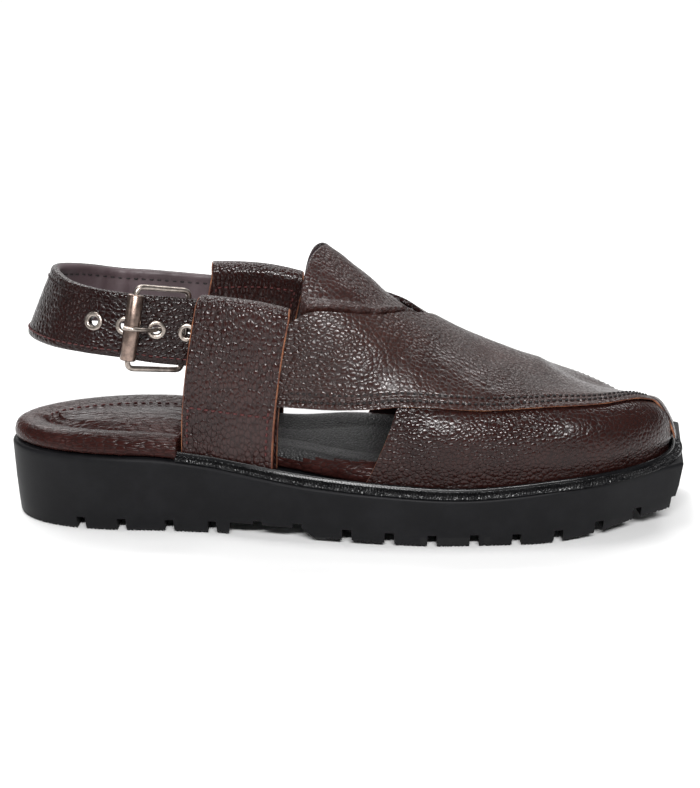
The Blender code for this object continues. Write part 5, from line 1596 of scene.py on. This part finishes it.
def bar_points():
    """Middle and upward direction of the roller and of the inner bar, and half the strap's width there."""
    roller = strap_station(EYELET_PLACES[2] + ROLLER_SHIFT)
    inner = strap_station(EYELET_PLACES[0] + BAR_SHIFT)
    height = roller[5] / 2 + 2 * CLEARANCE + EYELET_FLANGE + ROLLER_RADIUS
    roller_middle = roller[0] + roller[3] * height
    depth = inner[5] / 2 + CHAPE_LEATHER + 2 * CLEARANCE + WIRE_RADIUS
    return roller_middle, roller[2], inner[0] - inner[3] * depth, inner[2], max(roller[4], inner[4])


def make_eyelets():
    for number, place in enumerate(EYELET_PLACES, start=1):
        middle, _, _, out, _, thickness = strap_station(place)
        face, back = thickness / 2 + CLEARANCE, -thickness / 2
        dome = []
        for step in range(9):
            turn = math.pi * step / 8
            radius = (EYELET_RADIUS + EYELET_HOLE) / 2 + (EYELET_RADIUS - EYELET_HOLE) / 2 * math.cos(turn)
            dome.append((radius, face + EYELET_FLANGE * math.sin(turn)))
        profile = [(EYELET_HOLE, back), (EYELET_BARREL, back), (EYELET_BARREL, face)] + dome
        # painted shade: the bore takes the dark strap leather, for the shade inside the hole
        marks = [0] * (len(profile) - 1) + [1]
        ring = turned(f"ring_{number}", profile, 40, [NICKEL, SHADED_STRAP_LEATHER], middle, out, marks)
        settle(ring, "aged_nickel", f"eyelet_{number}")


def make_buckle():
    roller_middle, roller_up, bar_middle, bar_up, half = bar_points()
    rise = half + BUCKLE_MARGIN + WIRE_RADIUS
    corners = [
        roller_middle + roller_up * rise, bar_middle + bar_up * rise, bar_middle - bar_up * rise,
        roller_middle - roller_up * rise,
    ]
    loop = rod("buckle_loop", rounded_loop(corners, BUCKLE_CORNER), WIRE_RADIUS, NICKEL, closed=True)
    settle(loop, "aged_nickel", "buckle_frame")
    low = -(half + BUCKLE_MARGIN - BUCKLE_CORNER + ROLLER_OVERHANG)
    lower = [
        (ROLLER_BORE, low), (ROLLER_RADIUS - ROLLER_ROUND, low),
        (ROLLER_RADIUS - ROLLER_ROUND / 3, low + ROLLER_ROUND / 3), (ROLLER_RADIUS, low + ROLLER_ROUND),
    ]
    profile = lower + [(radius, -height) for radius, height in reversed(lower)]
    settle(turned("roller", profile, 48, [BRONZE], roller_middle, roller_up), "aged_nickel", "buckle_roller")


def make_prong():
    """Pin hooked round the inner bar."""
    roller_middle, _, bar_middle, _, _ = bar_points()
    hole, forward, _, out, _, thickness = strap_station(EYELET_PLACES[1])
    _, bar_forward, _, bar_out, _, _ = strap_station(EYELET_PLACES[0] + BAR_SHIFT)
    reach = WIRE_RADIUS + CLEARANCE + PRONG_RADIUS
    knots = []
    for step in range(6):
        turn = math.radians(180 + step * 21)
        knots.append(bar_middle + bar_forward * reach * math.cos(turn) + bar_out * reach * math.sin(turn))
    behind = hole - out * (thickness / 2 + PRONG_RADIUS + 0.0006)
    front = hole + out * (thickness / 2 + 0.0016)
    rest = roller_middle + out * (ROLLER_RADIUS + CLEARANCE + PRONG_RADIUS)
    # from behind the strap, through its hole, and over the roller to the tip
    knots += [
        behind - forward * 0.0022, behind - forward * 0.0006 + out * 0.0004, hole + forward * 0.0001,
        front + forward * 0.0006, front.lerp(rest, 0.35) + out * 0.0010,
        rest - forward * 0.0012 + out * 0.0002, rest + forward * 0.0016, rest + forward * 0.0034 - out * 0.0006,
    ]
    path = [curve_through(knots, place * 0.25) for place in range(4 * (len(knots) - 1) + 1)]
    settle(rod("prong", path, PRONG_RADIUS, NICKEL), "aged_nickel", "buckle_prong")


def dress_chape():
    """The leather tab keeps the solid's shape and takes the strap's darker leather, with its painted shade."""
    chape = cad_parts["buckle_chape"]
    for place in range(len(chape.material_slots)):
        chape.material_slots[place].material = SHADED_STRAP_LEATHER


# Room, light and camera
def make_stage():
    """Pale floor that rises to a wall behind."""
    floor_finish = Finish("pale_floor", Roughness=0.9)
    shade = floor_finish.mix(floor_finish.noise(3.0, 2.0), (0.79, 0.79, 0.79), (0.82, 0.82, 0.82))
    floor_finish.done(Base_Color=shade)
    rows = []
    for y, z in ((-3.0, 0.0), (1.2, 0.0), (1.8, 0.06), (2.3, 0.28), (2.6, 0.7), (2.7, 1.4), (2.7, 3.0)):
        rows.append([(-4.0, y, z), (4.0, y, z)])
    points = [point for row in rows for point in row]
    faces = [[2 * i, 2 * i + 1, 2 * i + 3, 2 * i + 2] for i in range(len(rows) - 1)]
    mesh = bpy.data.meshes.new("floor")
    mesh.from_pydata(points, [], faces)
    floor = finish_piece(mesh, "floor", [floor_finish.material], 60)


def soft_light(name, place, aim, width, height, power):
    lamp = bpy.data.lights.new(name, "AREA")
    lamp.shape = "RECTANGLE"
    lamp.size = width
    lamp.size_y = height
    lamp.energy = power
    made = bpy.data.objects.new(name, lamp)
    made.location = place
    made.rotation_euler = (Vector(aim) - Vector(place)).to_track_quat("-Z", "Y").to_euler()
    bpy.context.scene.collection.objects.link(made)


def make_light():
    soft_light("front_box", (0.05, -1.05, 0.78), (0.0, 0.0, 0.06), 0.75, 0.08, 20.0)
    soft_light("top_box", (-0.20, -0.05, 1.20), (0.0, 0.0, 0.05), 0.50, 0.30, 4.5)
    soft_light("left_box", (-1.00, -0.60, 0.55), (-0.1, 0.0, 0.06), 0.16, 0.34, 0.8)
    soft_light("back_box", (0.0, 0.9, 1.60), (0.0, 1.6, 0.2), 3.0, 0.6, 52.0)
    soft_light("rear_box", (-0.5, 0.95, 0.75), (0.0, 0.0, 0.08), 0.6, 0.3, 3.0)
    world = bpy.data.worlds.new("studio")
    world.use_nodes = True
    background = world.node_tree.nodes["Background"]
    background.inputs["Color"].default_value = (1.0, 1.0, 1.0, 1.0)
    background.inputs["Strength"].default_value = 0.13
    bpy.context.scene.world = world
    bpy.context.scene.view_settings.view_transform = "Standard"


CAMERA_HEIGHT = 0.2060
CAMERA_BACK = -0.5215
CAMERA_ASIDE = -0.0036
CAMERA_TILT = 16.5
SOLE_MIDDLE = 0.1475
LENS = 57.29


def make_camera():
    data = bpy.data.cameras.new("camera")
    data.sensor_width = 36.0
    data.lens = LENS
    data.clip_start = 0.01
    made = bpy.data.objects.new("camera", data)
    made.location = Vector((CAMERA_ASIDE + SOLE_MIDDLE, CAMERA_BACK, CAMERA_HEIGHT)) - ORIGIN
    made.rotation_euler = (math.radians(90 - CAMERA_TILT), 0.0, 0.0)
    bpy.context.scene.collection.objects.link(made)
    bpy.context.scene.camera = made


make_camera()
make_stage()
make_light()
make_outsole()
make_welt()
make_insole()
make_near_panel()
make_far_panel()
make_toe_wall()
make_tongue()
make_band("outer_band", LATERAL, BAND_TRIM, "band_lateral")
make_band("inner_band", MEDIAL, 0.0, "band_medial")
make_strap()
make_eyelets()
make_buckle()
make_prong()
dress_chape()
